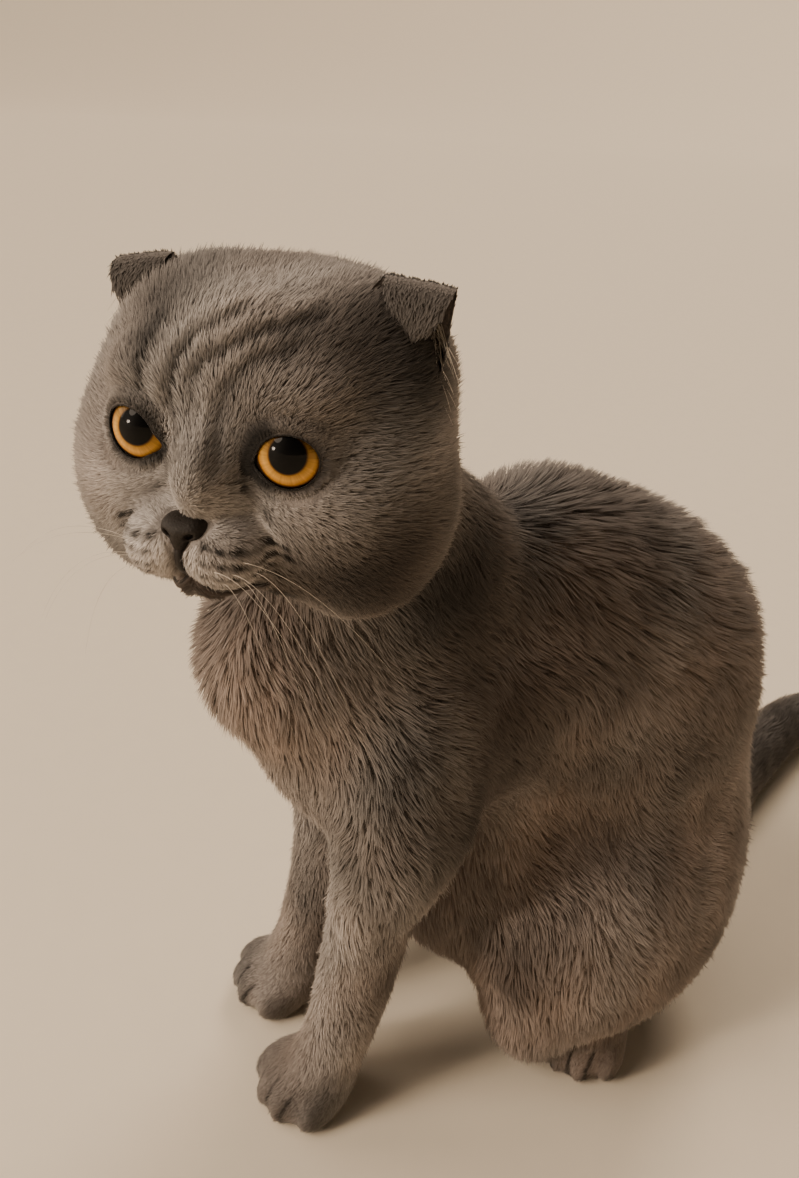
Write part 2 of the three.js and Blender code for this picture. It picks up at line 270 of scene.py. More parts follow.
# A part of several ellipsoids joined softly by the inner measure
def massPart(masses, inner, soft):
    centres = np.array([mass[0] for mass in masses], float)
    margin = max(max(mass[1]) for mass in masses) + 30
    low, high = centres.min(0) - margin, centres.max(0) + margin
    return bodyPart(lambda p: massField(p, masses, inner), low, high, soft)


parts = {
    "trunk": massPart(trunkMasses, 26, 1),
    "neck": massPart(neckMasses, 20, 16),
    "foreLegLeft": tubePart(forelegs["left"], forelegRadii, 14),
    "foreLegRight": tubePart(forelegs["right"], forelegRadii, 14),
    "foreLeft": massPart(pawMasses(paws["foreLeft"]), 7, 6),
    "foreRight": massPart(pawMasses(paws["foreRight"]), 7, 6),
    "hindLeft": massPart(pawMasses(paws["hindLeft"]), 7, 8),
    "hindRight": massPart(pawMasses(paws["hindRight"]), 7, 8),
    "tail": tubePart(tailPath, tailRadii, 16),
    "head": bodyPart(lambda p: headField(toHead(p)), headPlace - 105, headPlace + 105, 7),
}


# Distance to each part, 60 where the part is far off
def partDistances(points):
    found = {}
    for name, part in parts.items():
        near = np.all((points > part["low"]) & (points < part["high"]), axis=1)
        found[name] = np.full(len(points), 60.0)
        found[name][near] = np.minimum(part["field"](points[near]), 60)
    return found


# Distance to the outline of the coat: the soft union of all parts
def coatField(points):
    total = np.full(len(points), 60.0)
    for part in parts.values():
        near = np.all((points > part["low"]) & (points < part["high"]), axis=1)
        total[near] = softMin(total[near], part["field"](points[near]), part["soft"])
    return total


# exp(-|p - c|^2 / r^2), with r given for each axis
def bump(points, centre, radii):
    return np.exp(-np.sum(((points - np.array(centre, float)) / np.array(radii, float)) ** 2, axis=1))


# Least distance from (left, up) places to a line of straight pieces
def lineDistance(left, up, line):
    best = np.full(len(left), 1e3)
    p = np.stack([left, up], axis=1)
    for a, b in zip(line[:-1], line[1:]):
        along = np.clip((p - a) @ (b - a) / np.dot(b - a, b - a), 0, 1)
        best = np.minimum(best, np.linalg.norm(p - a - along[:, None] * (b - a), axis=1))
    return best


# Furrows and ridges that rise between the eyes and bend over the forehead, as (left, up) in the head's axes
brow = {
    "furrows": [
        [(-6.1, -0.8), (-8.9, 6.8), (-10.5, 13.2), (-10.4, 18.2), (-10.2, 22)]
        + [(-8.4, 26.5), (-5.8, 30.2), (-1.3, 32.6), (3.2, 35.1)],
        [(-4.1, 20), (-2.6, 23), (1.8, 26.2), (7.5, 29.2), (13.3, 31.7), (22.4, 33.9)],
        [(5.1, -0.6), (4.9, 3.7), (3.4, 10.1), (5.3, 17.7), (8.4, 21.5), (11.6, 25.3), (20.1, 27.9)],
        [(-20, 15.7), (-20.1, 20), (-20, 24.9), (-19.4, 29.9)],
    ],
    "ridges": [
        [(-4.6, -0.9), (-6.9, 6.8), (-8, 14.4), (-7.4, 20.6), (-3.4, 26.6), (2, 30.4), (8, 33.4), (16, 36)],
        [(-14.5, 13.4), (-14, 18.4), (-13.5, 24), (-9, 29.5), (-2, 34.5), (6, 37.6)],
        [(0.6, 8), (-0.4, 14), (1, 20), (6, 25.4), (13, 28.6)],
    ],
    "furrowWidth": 1.9,
    "ridgeWidth": 2.0,
    "furrowDepth": 0.9,
    "ridgeHeight": 0.4,
    # Furrows painted darker and ridges paler: partly the brow's marking, partly painted shade in the furrows
    # and painted light on the ridges
    "furrowShade": -0.6,
    "ridgeShade": 0.35,
}


# Share 0..1 of being on a line: exp(-(d / w)^2) of the least distance d, only on the front of the head
def lineShare(q, lines, width):
    near = (q[:, 0] > 8) & (q[:, 2] > -6) & (np.abs(q[:, 1]) < 40)
    share = np.zeros(len(q))
    least = np.min([lineDistance(q[near, 1], q[near, 2], np.array(line, float)) for line in lines], axis=0)
    share[near] = hill(least, width) * ease(q[near, 0], 10, 20)
    return share


# The brow's relief: furrows times one amount and ridges times another
def browLines(q, furrowAmount, ridgeAmount):
    inFurrow = lineShare(q, brow["furrows"], brow["furrowWidth"])
    onRidge = lineShare(q, brow["ridges"], brow["ridgeWidth"])
    return furrowAmount * inFurrow + ridgeAmount * onRidge


# How deep the skin lies under the coat's outline; the last four are changes
depths = {
    "body": 4.6,
    "head": 3.0,
    "legs": 2.6,
    "tail": 4.0,
    "feet": 1.2,
    "muzzle": -1.6,
    "eyes": -1.0,
    "chest": -1.6,
    "haunches": 3.0,  # low down, where the hair hangs
}


# Depth of the coat: the body's, with the bumps of the list above, moved to each other part's by its share
def coatDepth(points):
    q = toHead(points)
    depth = np.full(len(points), depths["body"])
    mirror = q * (1, 0, 1) + np.abs(q) * (0, 1, 0)
    head = 1 - ease(np.linalg.norm(q - (0, 0, -4), axis=1), 58, 84)
    onHead = depths["head"] + depths["muzzle"] * bump(q, (54, -2, -24), (22, 22, 24))
    onHead += depths["eyes"] * bump(mirror, (42, 22, 3), (14, 14, 13))
    depth += (onHead - depth) * head + browLines(q, brow["furrowDepth"], -brow["ridgeHeight"])
    depth += depths["chest"] * bump(points, (0, -30, 236), (70, 50, 46))
    depth += depths["haunches"] * (1 - ease(points[:, 2], 26, 66)) * ease(points[:, 1], 60, 85)
    leg = (1 - ease(points[:, 2], 50, 120)) * (1 - ease(points[:, 1], 40, 70))
    depth += (depths["legs"] - depth) * leg
    depth += (depths["tail"] - depth) * ease(points[:, 1], 240, 280)
    for paw in paws.values():
        foot = 1 - ease(np.linalg.norm(points - onPaw(paw, -4, 0, 6), axis=1), 22, 36)
        depth += (depths["feet"] - depth) * foot
    return depth


eyeFrames = {}
for name, side in sides.items():
    x, y, z = eyeShape["turn"]
    eyeFrames[name] = {
        "side": side,
        "centre": np.array(eyeShape["centre"]) * (1, side, 1),
        "turn": (x, y, side * z),
        "gaze": eyeShape["gaze"][name],
    }


# An eye's axes: x along its sight line, y to the cat's left, z up
def toEye(points, eye):
    return (toHead(points) - eye["centre"]) @ turned(*eye["turn"])


# Back from an eye's axes, or from the axes of its sight line where a turn is given
def fromEye(points, eye, turn=None):
    return fromHead(np.asarray(points) @ turned(*(turn or eye["turn"])).T + eye["centre"])


# Distance in the eye's axes from the edge of its opening: (|(y / h, z / v)| - 1) 7.9, v over or under the
# middle, less 1.6 exp(-((a + 0.3) / 0.32)^2) at an angle a, which draws out the inner corner
def openingDistance(e, eye):
    half, over, under = eyeShape["opening"]
    a = np.arctan2(e[:, 2], -eye["side"] * e[:, 1])
    v = np.where(e[:, 2] > 0, over, under)
    return (np.hypot(e[:, 1] / half, e[:, 2] / v) - 1) * 7.9 - 1.6 * hill(a + 0.3, 0.32)


# Distance to the skin before its hollows: the coat's outline moved in by its depth
def plainSkin(points):
    return coatField(points) + coatDepth(points)


# Distance to the skin: hollowed at the eyes, and ended just over the floor
def skinField(points):
    total = plainSkin(points)
    for eye in eyeFrames.values():
        q = toEye(points, eye)
        near = np.linalg.norm(q, axis=1) < 40
        hollow = blobDistance(q[near], (11.5, 0, 0), (8.5, 12.5, 11.6))
        total[near] = -softMin(-total[near], hollow, 2.5)
    return np.maximum(total, 0.3 - points[:, 2])


# Gradient of a field by differences over h on both sides
def gradientOf(field, points, h=0.5):
    steps = np.eye(3) * h
    return np.stack([field(points + s) - field(points - s) for s in steps], axis=1) / (2 * h)


# Surface of value zero in a block of samples: a vertex per mixed cell at the mean of its edge crossings,
# and a quad round every edge whose ends differ in sign
def netSurface(values, low, step):
    inside = values < 0
    corners = [np.array([i, j, k]) for i in (0, 1) for j in (0, 1) for k in (0, 1)]
    shape = np.array(values.shape) - 1
    count = np.zeros(shape, np.int8)
    for i, j, k in corners:
        count += inside[i : i + shape[0], j : j + shape[1], k : k + shape[2]]
    cells = np.argwhere((count > 0) & (count < 8))
    number = np.full(shape, -1, np.int32)
    number[tuple(cells.T)] = np.arange(len(cells))
    total = np.zeros((len(cells), 3))
    hits = np.zeros(len(cells))
    for a in corners:
        for axis in range(3):
            if a[axis]:
                continue
            b = a + np.eye(3, dtype=int)[axis]
            va = values[tuple((cells + a).T)]
            vb = values[tuple((cells + b).T)]
            crossed = (va < 0) != (vb < 0)
            share = np.where(crossed, va / np.where(crossed, va - vb, 1), 0)
            total += np.where(crossed[:, None], a + share[:, None] * (b - a), 0)
            hits += crossed
    vertices = low + (cells + total / hits[:, None]) * step
    quads = []
    for axis in range(3):
        one, two = (axis + 1) % 3, (axis + 2) % 3
        start = [slice(1, -1)] * 3
        end = [slice(1, -1)] * 3
        start[axis] = slice(0, -1)
        end[axis] = slice(1, None)
        first = inside[tuple(start)]
        crossing = np.argwhere(first != inside[tuple(end)])
        outward = first[tuple(crossing.T)]
        crossing[:, one] += 1
        crossing[:, two] += 1
        e1 = np.eye(3, dtype=int)[one]
        e2 = np.eye(3, dtype=int)[two]
        ring = [crossing - e1 - e2, crossing - e2, crossing, crossing - e1]
        quad = np.stack([number[tuple(c.T)] for c in ring], axis=1)
        quads.append(np.where(outward[:, None], quad, quad[:, ::-1]))
    return vertices, np.concatenate(quads)


# The field's zero surface over a box. A coarse pass says where the fine one is needed
def surfaceOf(field, low, high, step, band, coarse=3):
    low = np.array(low, float)
    counts = (np.ceil((np.array(high, float) - low) / step / coarse)).astype(int) * coarse
    axes = [low[i] + np.arange(counts[i]) * step for i in range(3)]
    rough = [axis[coarse // 2 :: coarse] for axis in axes]
    rougher = np.stack(np.meshgrid(*rough, indexing="ij"), axis=-1).reshape(-1, 3)
    values = field(rougher).reshape([len(axis) for axis in rough])
    for axis in range(3):
        values = np.repeat(values, coarse, axis=axis)
    near = np.argwhere(np.abs(values) < band)
    fine = np.stack([axes[i][near[:, i]] for i in range(3)], axis=1)
    values[tuple(near.T)] = field(fine)
    return netSurface(values, low, step)


# Moves points onto the zero surface: p - f g / |g|^2, never more than one step
def settle(field, points, rounds, limit):
    for _ in range(rounds):
        slope = gradientOf(field, points)
        move = field(points)[:, None] * slope / np.maximum(np.sum(slope * slope, axis=1, keepdims=True), 0.2)
        length = np.linalg.norm(move, axis=1, keepdims=True)
        points = points - move * np.minimum(1, limit / np.maximum(length, 1e-9))
    return points


# Making pieces

# A mesh object from vertices in millimetres, with a value per vertex for each attribute
def meshPiece(name, vertices, faces, material, attributes=None, smooth=True, nodes=()):
    mesh = bpy.data.meshes.new(name)
    faces = np.asarray(faces)
    placed = (np.asarray(vertices) + footPoint) * mm
    mesh.vertices.add(len(placed))
    mesh.vertices.foreach_set("co", placed.astype(np.float32).ravel())
    mesh.loops.add(faces.size)
    mesh.loops.foreach_set("vertex_index", faces.astype(np.int32).ravel())
    mesh.polygons.add(len(faces))
    mesh.polygons.foreach_set("loop_start", np.arange(len(faces), dtype=np.int32) * faces.shape[1])
    mesh.update(calc_edges=True)
    mesh.polygons.foreach_set("use_smooth", np.full(len(faces), smooth))
    for label, values in (attributes or {}).items():
        layer = mesh.attributes.new(label, "FLOAT", "POINT")
        layer.data.foreach_set("value", np.asarray(values, np.float32).ravel())
    made = bpy.data.objects.new(name, mesh)
    bpy.context.scene.collection.objects.link(made)
    mesh.materials.append(material)
    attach(made, "root")
    if nodes:
        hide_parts(*nodes)
    return made


# Quads of a grid of n by m vertices, counted row by row, closed over in either way if asked
def gridFaces(n, m, closeRows=False, closeColumns=False):
    i = np.arange(n if closeRows else n - 1)[:, None]
    j = np.arange(m if closeColumns else m - 1)[None, :]
    a, b = i * m, ((i + 1) % n) * m
    c, d = j, (j + 1) % m
    return np.stack([a + c, b + c, b + d, a + d], axis=-1).reshape(-1, 4)


# Each quad as two triangles
def triangled(quads):
    return np.concatenate([quads[:, [0, 1, 2]], quads[:, [0, 2, 3]]])


# Triangles of n closed rings of vertices and a pole at each end, the poles being the two vertices after the
# rings
def cappedFaces(n, around):
    k = np.arange(around)
    after = (k + 1) % around
    last = (n - 1) * around
    start = np.stack([np.full(around, n * around), k, after], axis=1)
    end = np.stack([np.full(around, n * around + 1), last + after, last + k], axis=1)
    return np.concatenate([triangled(gridFaces(n, around, closeColumns=True)), start, end])


# Several meshes as one
def merged(meshes):
    offset = 0
    vertices, faces = [], []
    for v, f in meshes:
        vertices.append(v)
        faces.append(f + offset)
        offset += len(v)
    return np.concatenate(vertices), np.concatenate(faces)


# Faces turned so that the closed mesh has a positive volume
def outwardFaces(vertices, faces):
    a, b, c = (vertices[faces[:, i]] for i in range(3))
    volume = np.sum(np.cross(a, b) * c)
    if faces.shape[1] == 4:
        volume += np.sum(np.cross(a, c) * vertices[faces[:, 3]])
    return faces if volume > 0 else faces[:, ::-1]


# A closed tube along a path with a radius per path point: p + r (u cos a + v flat sin a), its ends drawn to
# a point
def tube(path, radii, around=8, flat=1.0, up=(0, 0, 1)):
    path = np.asarray(path, float)
    radii = np.asarray(radii, float)
    along = unit(np.gradient(path, axis=0))
    v = tangent(np.broadcast_to(np.array(up, float), along.shape), along)
    u = np.cross(v, along)
    a = np.arange(around) / around * 2 * np.pi
    ring = np.cos(a)[None, :, None] * u[:, None] + flat * np.sin(a)[None, :, None] * v[:, None]
    body = path[:, None] + radii[:, None, None] * ring
    poles = [path[:1] - along[:1] * radii[0], path[-1:] + along[-1:] * radii[-1]]
    return np.concatenate([body.reshape(-1, 3), *poles]), cappedFaces(len(path), around)


# Materials

# A shader node group with named inputs (name, kind, value) and outputs (name, kind)
def nodeGroup(name, inputs, outputs):
    group = bpy.data.node_groups.new(name, "ShaderNodeTree")
    for label, kind, value in inputs:
        socket = group.interface.new_socket(label, in_out="INPUT", socket_type=kind)
        socket.default_value = value
    for label, kind in outputs:
        group.interface.new_socket(label, in_out="OUTPUT", socket_type=kind)
    return group, group.nodes.new("NodeGroupInput"), group.nodes.new("NodeGroupOutput")


# The output of a math node, whose inputs are numbers or other sockets
def mathNode(tree, operation, first, second=None, third=None, clamp=False):
    node = tree.nodes.new("ShaderNodeMath")
    node.operation = operation
    node.use_clamp = clamp
    for socket, value in zip(node.inputs, (first, second, third)):
        if value is None:
            continue
        if isinstance(value, (int, float)):
            socket.default_value = value
        else:
            tree.links.new(value, socket)
    return node.outputs[0]


# The output of a colour mix, first at share 0 and second at share 1
def mixColour(tree, share, first, second, blend="MIX"):
    node = tree.nodes.new("ShaderNodeMix")
    node.data_type = "RGBA"
    node.blend_type = blend
    for socket, value in zip((node.inputs[0], node.inputs[6], node.inputs[7]), (share, first, second)):
        if isinstance(value, (int, float)):
            socket.default_value = value
        elif isinstance(value, (tuple, list)):
            socket.default_value = (*value, 1)
        else:
            tree.links.new(value, socket)
    return node.outputs[2]


# A colour times a grey of the given strength
def shaded(tree, colour, strength):
    grey = tree.nodes.new("ShaderNodeCombineColor")
    for socket in grey.inputs[:3]:
        tree.links.new(strength, socket)
    return mixColour(tree, 1.0, colour, grey.outputs[0], "MULTIPLY")


# The value of one of the mesh's attributes
def attributeNode(tree, label):
    node = tree.nodes.new("ShaderNodeAttribute")
    node.attribute_name = label
    return node.outputs["Fac"]


# A material with one principled shader, whose coat is thin and wet where it has one
def plainMaterial(name, colour, roughness, specular, coat=0.0):
    material = bpy.data.materials.new(name)
    material.use_nodes = True
    shader = material.node_tree.nodes["Principled BSDF"]
    shader.inputs["Base Color"].default_value = (*colour, 1)
    shader.inputs["Roughness"].default_value = roughness
    shader.inputs["Specular IOR Level"].default_value = specular
    shader.inputs["Coat Weight"].default_value = coat
    shader.inputs["Coat Roughness"].default_value = 0.02
    shader.inputs["Coat IOR"].default_value = 1.33
    return material, shader


# Uneven colour for small hard or bare parts: the colour times 1 - spread to 1 + spread by noise, and its
# height
unevenness, given, result = nodeGroup(
    "unevenness",
    [
        ("Colour", "NodeSocketColor", (0.5, 0.5, 0.5, 1)),
        ("Scale", "NodeSocketFloat", 500.0),
        ("Spread", "NodeSocketFloat", 0.2),
    ],
    [("Colour", "NodeSocketColor"), ("Height", "NodeSocketFloat")],
)
where = unevenness.nodes.new("ShaderNodeTexCoord")
noise = unevenness.nodes.new("ShaderNodeTexNoise")
noise.inputs["Detail"].default_value = 4
unevenness.links.new(where.outputs["Object"], noise.inputs["Vector"])
unevenness.links.new(given.outputs["Scale"], noise.inputs["Scale"])
swing = mathNode(unevenness, "MULTIPLY", mathNode(unevenness, "SUBTRACT", noise.outputs["Fac"], 0.5), 4.0)
swing = mathNode(unevenness, "ADD", mathNode(unevenness, "MULTIPLY", swing, given.outputs["Spread"]), 1.0)
unevenness.links.new(shaded(unevenness, given.outputs["Colour"], swing), result.inputs["Colour"])
unevenness.links.new(noise.outputs["Fac"], result.inputs["Height"])


# A plain material with the unevenness in its colour and as a bump
def unevenMaterial(name, colour, roughness, specular, scale, spread, bumpDistance):
    material, shader = plainMaterial(name, colour, roughness, specular)
    tree = material.node_tree
    uneven = tree.nodes.new("ShaderNodeGroup")
    uneven.node_tree = unevenness
    uneven.inputs["Colour"].default_value = (*colour, 1)
    uneven.inputs["Scale"].default_value = scale
    uneven.inputs["Spread"].default_value = spread
    tree.links.new(uneven.outputs["Colour"], shader.inputs["Base Color"])
    relief = tree.nodes.new("ShaderNodeBump")
    relief.inputs["Strength"].default_value = 0.6
    relief.inputs["Distance"].default_value = bumpDistance
    tree.links.new(uneven.outputs["Height"], relief.inputs["Height"])
    tree.links.new(relief.outputs["Normal"], shader.inputs["Normal"])
    return material


coatColours = {
    "root": (0.085, 0.078, 0.074),
    "body": (0.150, 0.140, 0.133),
    "tip": (0.245, 0.232, 0.222),
    "warm": (0.22, 0.145, 0.105),
}

# Hair colour from four values: tone 1 is plain, under 1 darker, over 1 paler; warmth; place from root to
# tip; strand
furColour, given, result = nodeGroup(
    "furColour",
    [
        ("Tone", "NodeSocketFloat", 1.0),
        ("Warmth", "NodeSocketFloat", 0.0),
        ("Along", "NodeSocketFloat", 0.5),
        ("Strand", "NodeSocketFloat", 0.5),
    ],
    [("Colour", "NodeSocketColor")],
)
low = mathNode(furColour, "MULTIPLY", given.outputs["Along"], 2.0, clamp=True)
high = mathNode(furColour, "MULTIPLY", given.outputs["Along"], 2.0)
high = mathNode(furColour, "SUBTRACT", high, 1.0, clamp=True)
hair = mixColour(furColour, low, coatColours["root"], coatColours["body"])
hair = mixColour(furColour, high, hair, coatColours["tip"])
hair = mixColour(furColour, given.outputs["Warmth"], hair, coatColours["warm"])
strength = mathNode(furColour, "MULTIPLY_ADD", given.outputs["Strand"], 0.7, 0.65)
strength = mathNode(furColour, "MULTIPLY", strength, given.outputs["Tone"])
furColour.links.new(shaded(furColour, hair, strength), result.inputs["Colour"])

# Fine unevenness for the skin between the tufts, as a height: noise times strength
furGrain, given, result = nodeGroup(
    "furGrain",
    [("Scale", "NodeSocketFloat", 900.0), ("Strength", "NodeSocketFloat", 1.0)],
    [("Height", "NodeSocketFloat")],
)
coordinates = furGrain.nodes.new("ShaderNodeTexCoord")
noise = furGrain.nodes.new("ShaderNodeTexNoise")
noise.inputs["Detail"].default_value = 3
furGrain.links.new(coordinates.outputs["Object"], noise.inputs["Vector"])
furGrain.links.new(given.outputs["Scale"], noise.inputs["Scale"])
height = mathNode(furGrain, "MULTIPLY", noise.outputs["Fac"], given.outputs["Strength"])
furGrain.links.new(height, result.inputs["Height"])


# The coat's material, with the fine unevenness as a bump where grain is true
def furMaterial(name, grain):
    material, shader = plainMaterial(name, coatColours["body"], 0.75, 0.25)
    tree = material.node_tree
    colour = tree.nodes.new("ShaderNodeGroup")
    colour.node_tree = furColour
    for label in ("Tone", "Warmth", "Along", "Strand"):
        tree.links.new(attributeNode(tree, label.lower()), colour.inputs[label])
    tree.links.new(colour.outputs["Colour"], shader.inputs["Base Color"])
    shader.inputs["Sheen Weight"].default_value = 0.22
    shader.inputs["Sheen Roughness"].default_value = 0.4
    shader.inputs["Sheen Tint"].default_value = (0.75, 0.70, 0.66, 1)
    if grain:
        streaks = tree.nodes.new("ShaderNodeGroup")
        streaks.node_tree = furGrain
        height = tree.nodes.new("ShaderNodeBump")
        height.inputs["Strength"].default_value = 0.9
        height.inputs["Distance"].default_value = 0.0009
        tree.links.new(streaks.outputs["Height"], height.inputs["Height"])
        tree.links.new(height.outputs["Normal"], shader.inputs["Normal"])
    return material


skinMaterial = furMaterial("skinUnderCoat", True)
tuftMaterial = furMaterial("coatTufts", False)
print("materials ready")


# Where the coat lies, how long it is, and how it is shaded
mouthLine = np.array([(0, -31.5), (2.5, -35.2), (6, -37.8), (11, -38.6), (16, -37.6), (20.5, -34.6)], float)
waveCount = 14
waves = {
    "used": 7,
    "directions": unit(rng.normal(size=(waveCount, 3))),
    "phases": rng.uniform(0, 2 * np.pi, waveCount),
}


# Smooth random value from -1 to 1: the mean of seven sines of p . k / wavelength, each a little longer than
# the last
def drift(points, wavelength, shift=0):
    total = np.zeros(len(points))
    for i in range(waves["used"]):
        k = (i + shift) % waveCount
        turns = points @ waves["directions"][k] * 2 * np.pi / (wavelength * (0.7 + 0.12 * i))
        total += np.sin(turns + waves["phases"][k] * (1 + shift))
    return total / 2.6


# The last place inside a shape between near and far, by steps that halve
def lastInside(isInside, near, far, steps):
    for _ in range(steps):
        middle = (near + far) / 2
        inside = isInside(middle)
        near, far = np.where(inside, middle, near), np.where(inside, far, middle)
    return near


# Place on the face's outline for a left and up in the head's axes: the x where the head's field is zero
def onFace(left, up, lift=0.0):
    left, up = np.broadcast_arrays(np.asarray(left, float), np.asarray(up, float))
    isInside = lambda x: headField(np.stack([x, left, up], axis=-1)) < 0
    x = lastInside(isInside, np.full(left.shape, 10.0), np.full(left.shape, 80.0), 24)
    return np.stack([x + lift, left, up], axis=-1)


# Dark spots at the whiskers' roots, in rows on each pad: (beside the muzzle's middle, up)
spotRows = {"counts": (5, 5, 4, 4), "start": (8, -18.6), "along": (4.1, -0.55), "down": 3.5, "shift": 0.8}
spotPlaces = [
    (
        spotRows["start"][0] + spotRows["along"][0] * i + spotRows["shift"] * (row % 2),
        spotRows["start"][1] - spotRows["down"] * row + spotRows["along"][1] * i,
    )
    for row, count in enumerate(spotRows["counts"])
    for i in range(count)
]
tearLine = np.array([(13.5, -0.5), (10, -3.4), (10.6, -6), (12.6, -9.2), (15.7, -11.8), (17.6, -13.5)], float)

cornerShade = {1: 3.4, -1: 0.6}  # how far the dark rim of an eye's inner corner spreads, widened by painted shadow, far more on the left eye

# Pale and dark places of the coat, mostly painted light and painted shade: lit tops and sides made paler, and
# painted shadow under the cheeks and ears, at the neck, elbows and haunches and on the tail, with some of the
# fur's own paler and darker places. Each has a middle, radii, and the logarithm of the change there. Those of
# the head are in the head's axes, those of the body in millimetres from the point between the forefeet
headToneAndPaintedLight = [
    ((2, 14, 44), (12, 24, 6), 0.75),
    ((-8, 34, 41), (9, 7, 5), 0.60),
    ((19, -14, 41), (9, 9, 5), -0.45),
    ((20, -4, 33), (14, 10, 8), 0.55),
    ((14, 12, 36), (12, 12, 6), 0.65),
    ((26, -27, 34), (16, 10, 8), -1.10),
    ((38, -22, 26), (8, 4.5, 5), -0.80),
    ((34, -14.5, 23), (8, 4.5, 7), 0.25),
    ((14, 20, 24), (16, 12, 9), -1.30),
    ((8, 32, 26), (14, 14, 12), -0.90),
    ((6, 38, 32), (14, 11, 10), -0.60),
    ((8, 45, 19), (14, 12, 10), -1.10),
    ((24, 10, 15), (10, 9, 6), -0.90),
    ((29, 3, 9), (8, 5, 8), -1.00),
    ((35, -6, 12), (8, 4, 8), -0.40),
    ((9, 55, 2), (13, 7, 7), 0.35),
    ((15, 49, -2), (12, 8, 6), 0.40),
    ((-5, 51, 28), (7, 6, 6), 0.60),
    ((42, -30, 2), (10, 5, 4.5), 0.75),
    ((42, -13, 5), (8, 3, 5), 0.90),
    ((45, -36, -11), (10, 7, 6), 0.40),
    ((46, -28, -17), (10, 8, 5), 0.40),
    ((46, -30, -27), (12, 7, 6), 0.40),
    ((40, 1, -8), (12, 6, 6), 1.15),
    ((36, 5, -4), (6, 4, 4), 0.40),
    ((42, 3, -15), (12, 7, 5), 0.75),
    ((48, 7, -25), (12, 10, 8), 0.70),
    ((40, 16, -21), (10, 7, 6), 0.70),
    ((57, -12, -21), (10, 9, 7), 0.50),
    ((34, 14, -13), (8, 6, 4), 0.60),
    ((25, 30, -6), (8, 8, 4), 0.95),
    ((33, 36, -29), (16, 15, 9), -1.40),
    ((26, 51, -21), (14, 13, 10), -0.85),
    ((34, 42, -41), (18, 16, 9), -1.30),
    ((16, 57, -44), (16, 14, 12), -1.10),
    ((12, 62, -20), (10, 8, 18), -0.50),
    ((36, -43, -38), (12, 10, 7), -0.60),
    ((4, -42, 36), (8, 6, 6), -0.70),
    ((18, 24, 14), (14, 20, 12), -0.55),
    ((36, -18, 24), (8, 8, 8), -0.35),
    ((30, 41, -26), (12, 12, 9), -0.40),
    ((50, -4, -20), (10, 11, 4.5), 0.35),
    ((41, 15, -22.5), (7, 6, 5), 0.35),
]
bodyToneAndPaintedLight = [
    ((44, 34, 264), (22, 24, 16), -1.60),
    ((48, 44, 246), (16, 18, 14), -0.90),
    ((57, 58, 214), (26, 21, 42), -1.05),
    ((62, 44, 174), (13, 8, 24), -0.90),
    ((60, 14, 196), (20, 15, 26), -0.60),
    ((50, 80, 130), (18, 15, 14), 0.90),
    ((48, 90, 150), (16, 16, 14), 0.45),
    ((54, 69, 112), (14, 11, 10), 0.70),
    ((70, 77, 100), (15, 11, 18), -0.60),
    ((62, 70, 76), (10, 8, 8), -0.80),
    ((29, 0, 116), (16, 12, 16), 0.60),
    ((54, 10, 112), (10, 10, 16), -0.35),
    ((49, 26, 83), (12, 9, 16), -0.60),
    ((46, 12, 42), (10, 8, 12), 0.35),
    ((88, 112, 100), (26, 32, 30), 0.25),
    ((97, 141, 78), (10, 10, 10), -0.45),
    ((90, 168, 80), (12, 14, 12), -0.50),
    ((76, 90, 107), (14, 11, 12), -0.25),
    ((76, 122, 14), (14, 16, 10), 0.60),
    ((70, 160, 135), (20, 16, 14), 0.25),
    ((-66, 380, 36), (40, 90, 40), -0.60),
    ((-20, 6, 22), (8, 10, 12), 0.40),
    ((-30, -8, 18), (10, 10, 10), 0.30),
    ((35, -16, 21), (12, 10, 10), -0.25),
    ((36, 50, 280), (22, 34, 20), -0.70),
    ((54, 84, 228), (18, 20, 26), -0.50),
    ((68, 138, 186), (22, 38, 26), -0.45),
    ((64, 46, 172), (14, 26, 20), -0.40),
    ((69, 27, 156), (10, 12, 18), -0.60),
    ((70, 91, 124), (14, 12, 10), -0.50),
    ((58, 68, 96), (14, 10, 18), -0.50),
    ((60, 20, 124), (9, 9, 14), -0.50),
    ((48, 30, 88), (9, 8, 16), -0.50),
    ((92, 160, 84), (14, 22, 14), -0.40),
    ((-26, 13, 100), (12, 12, 24), -0.40),
]
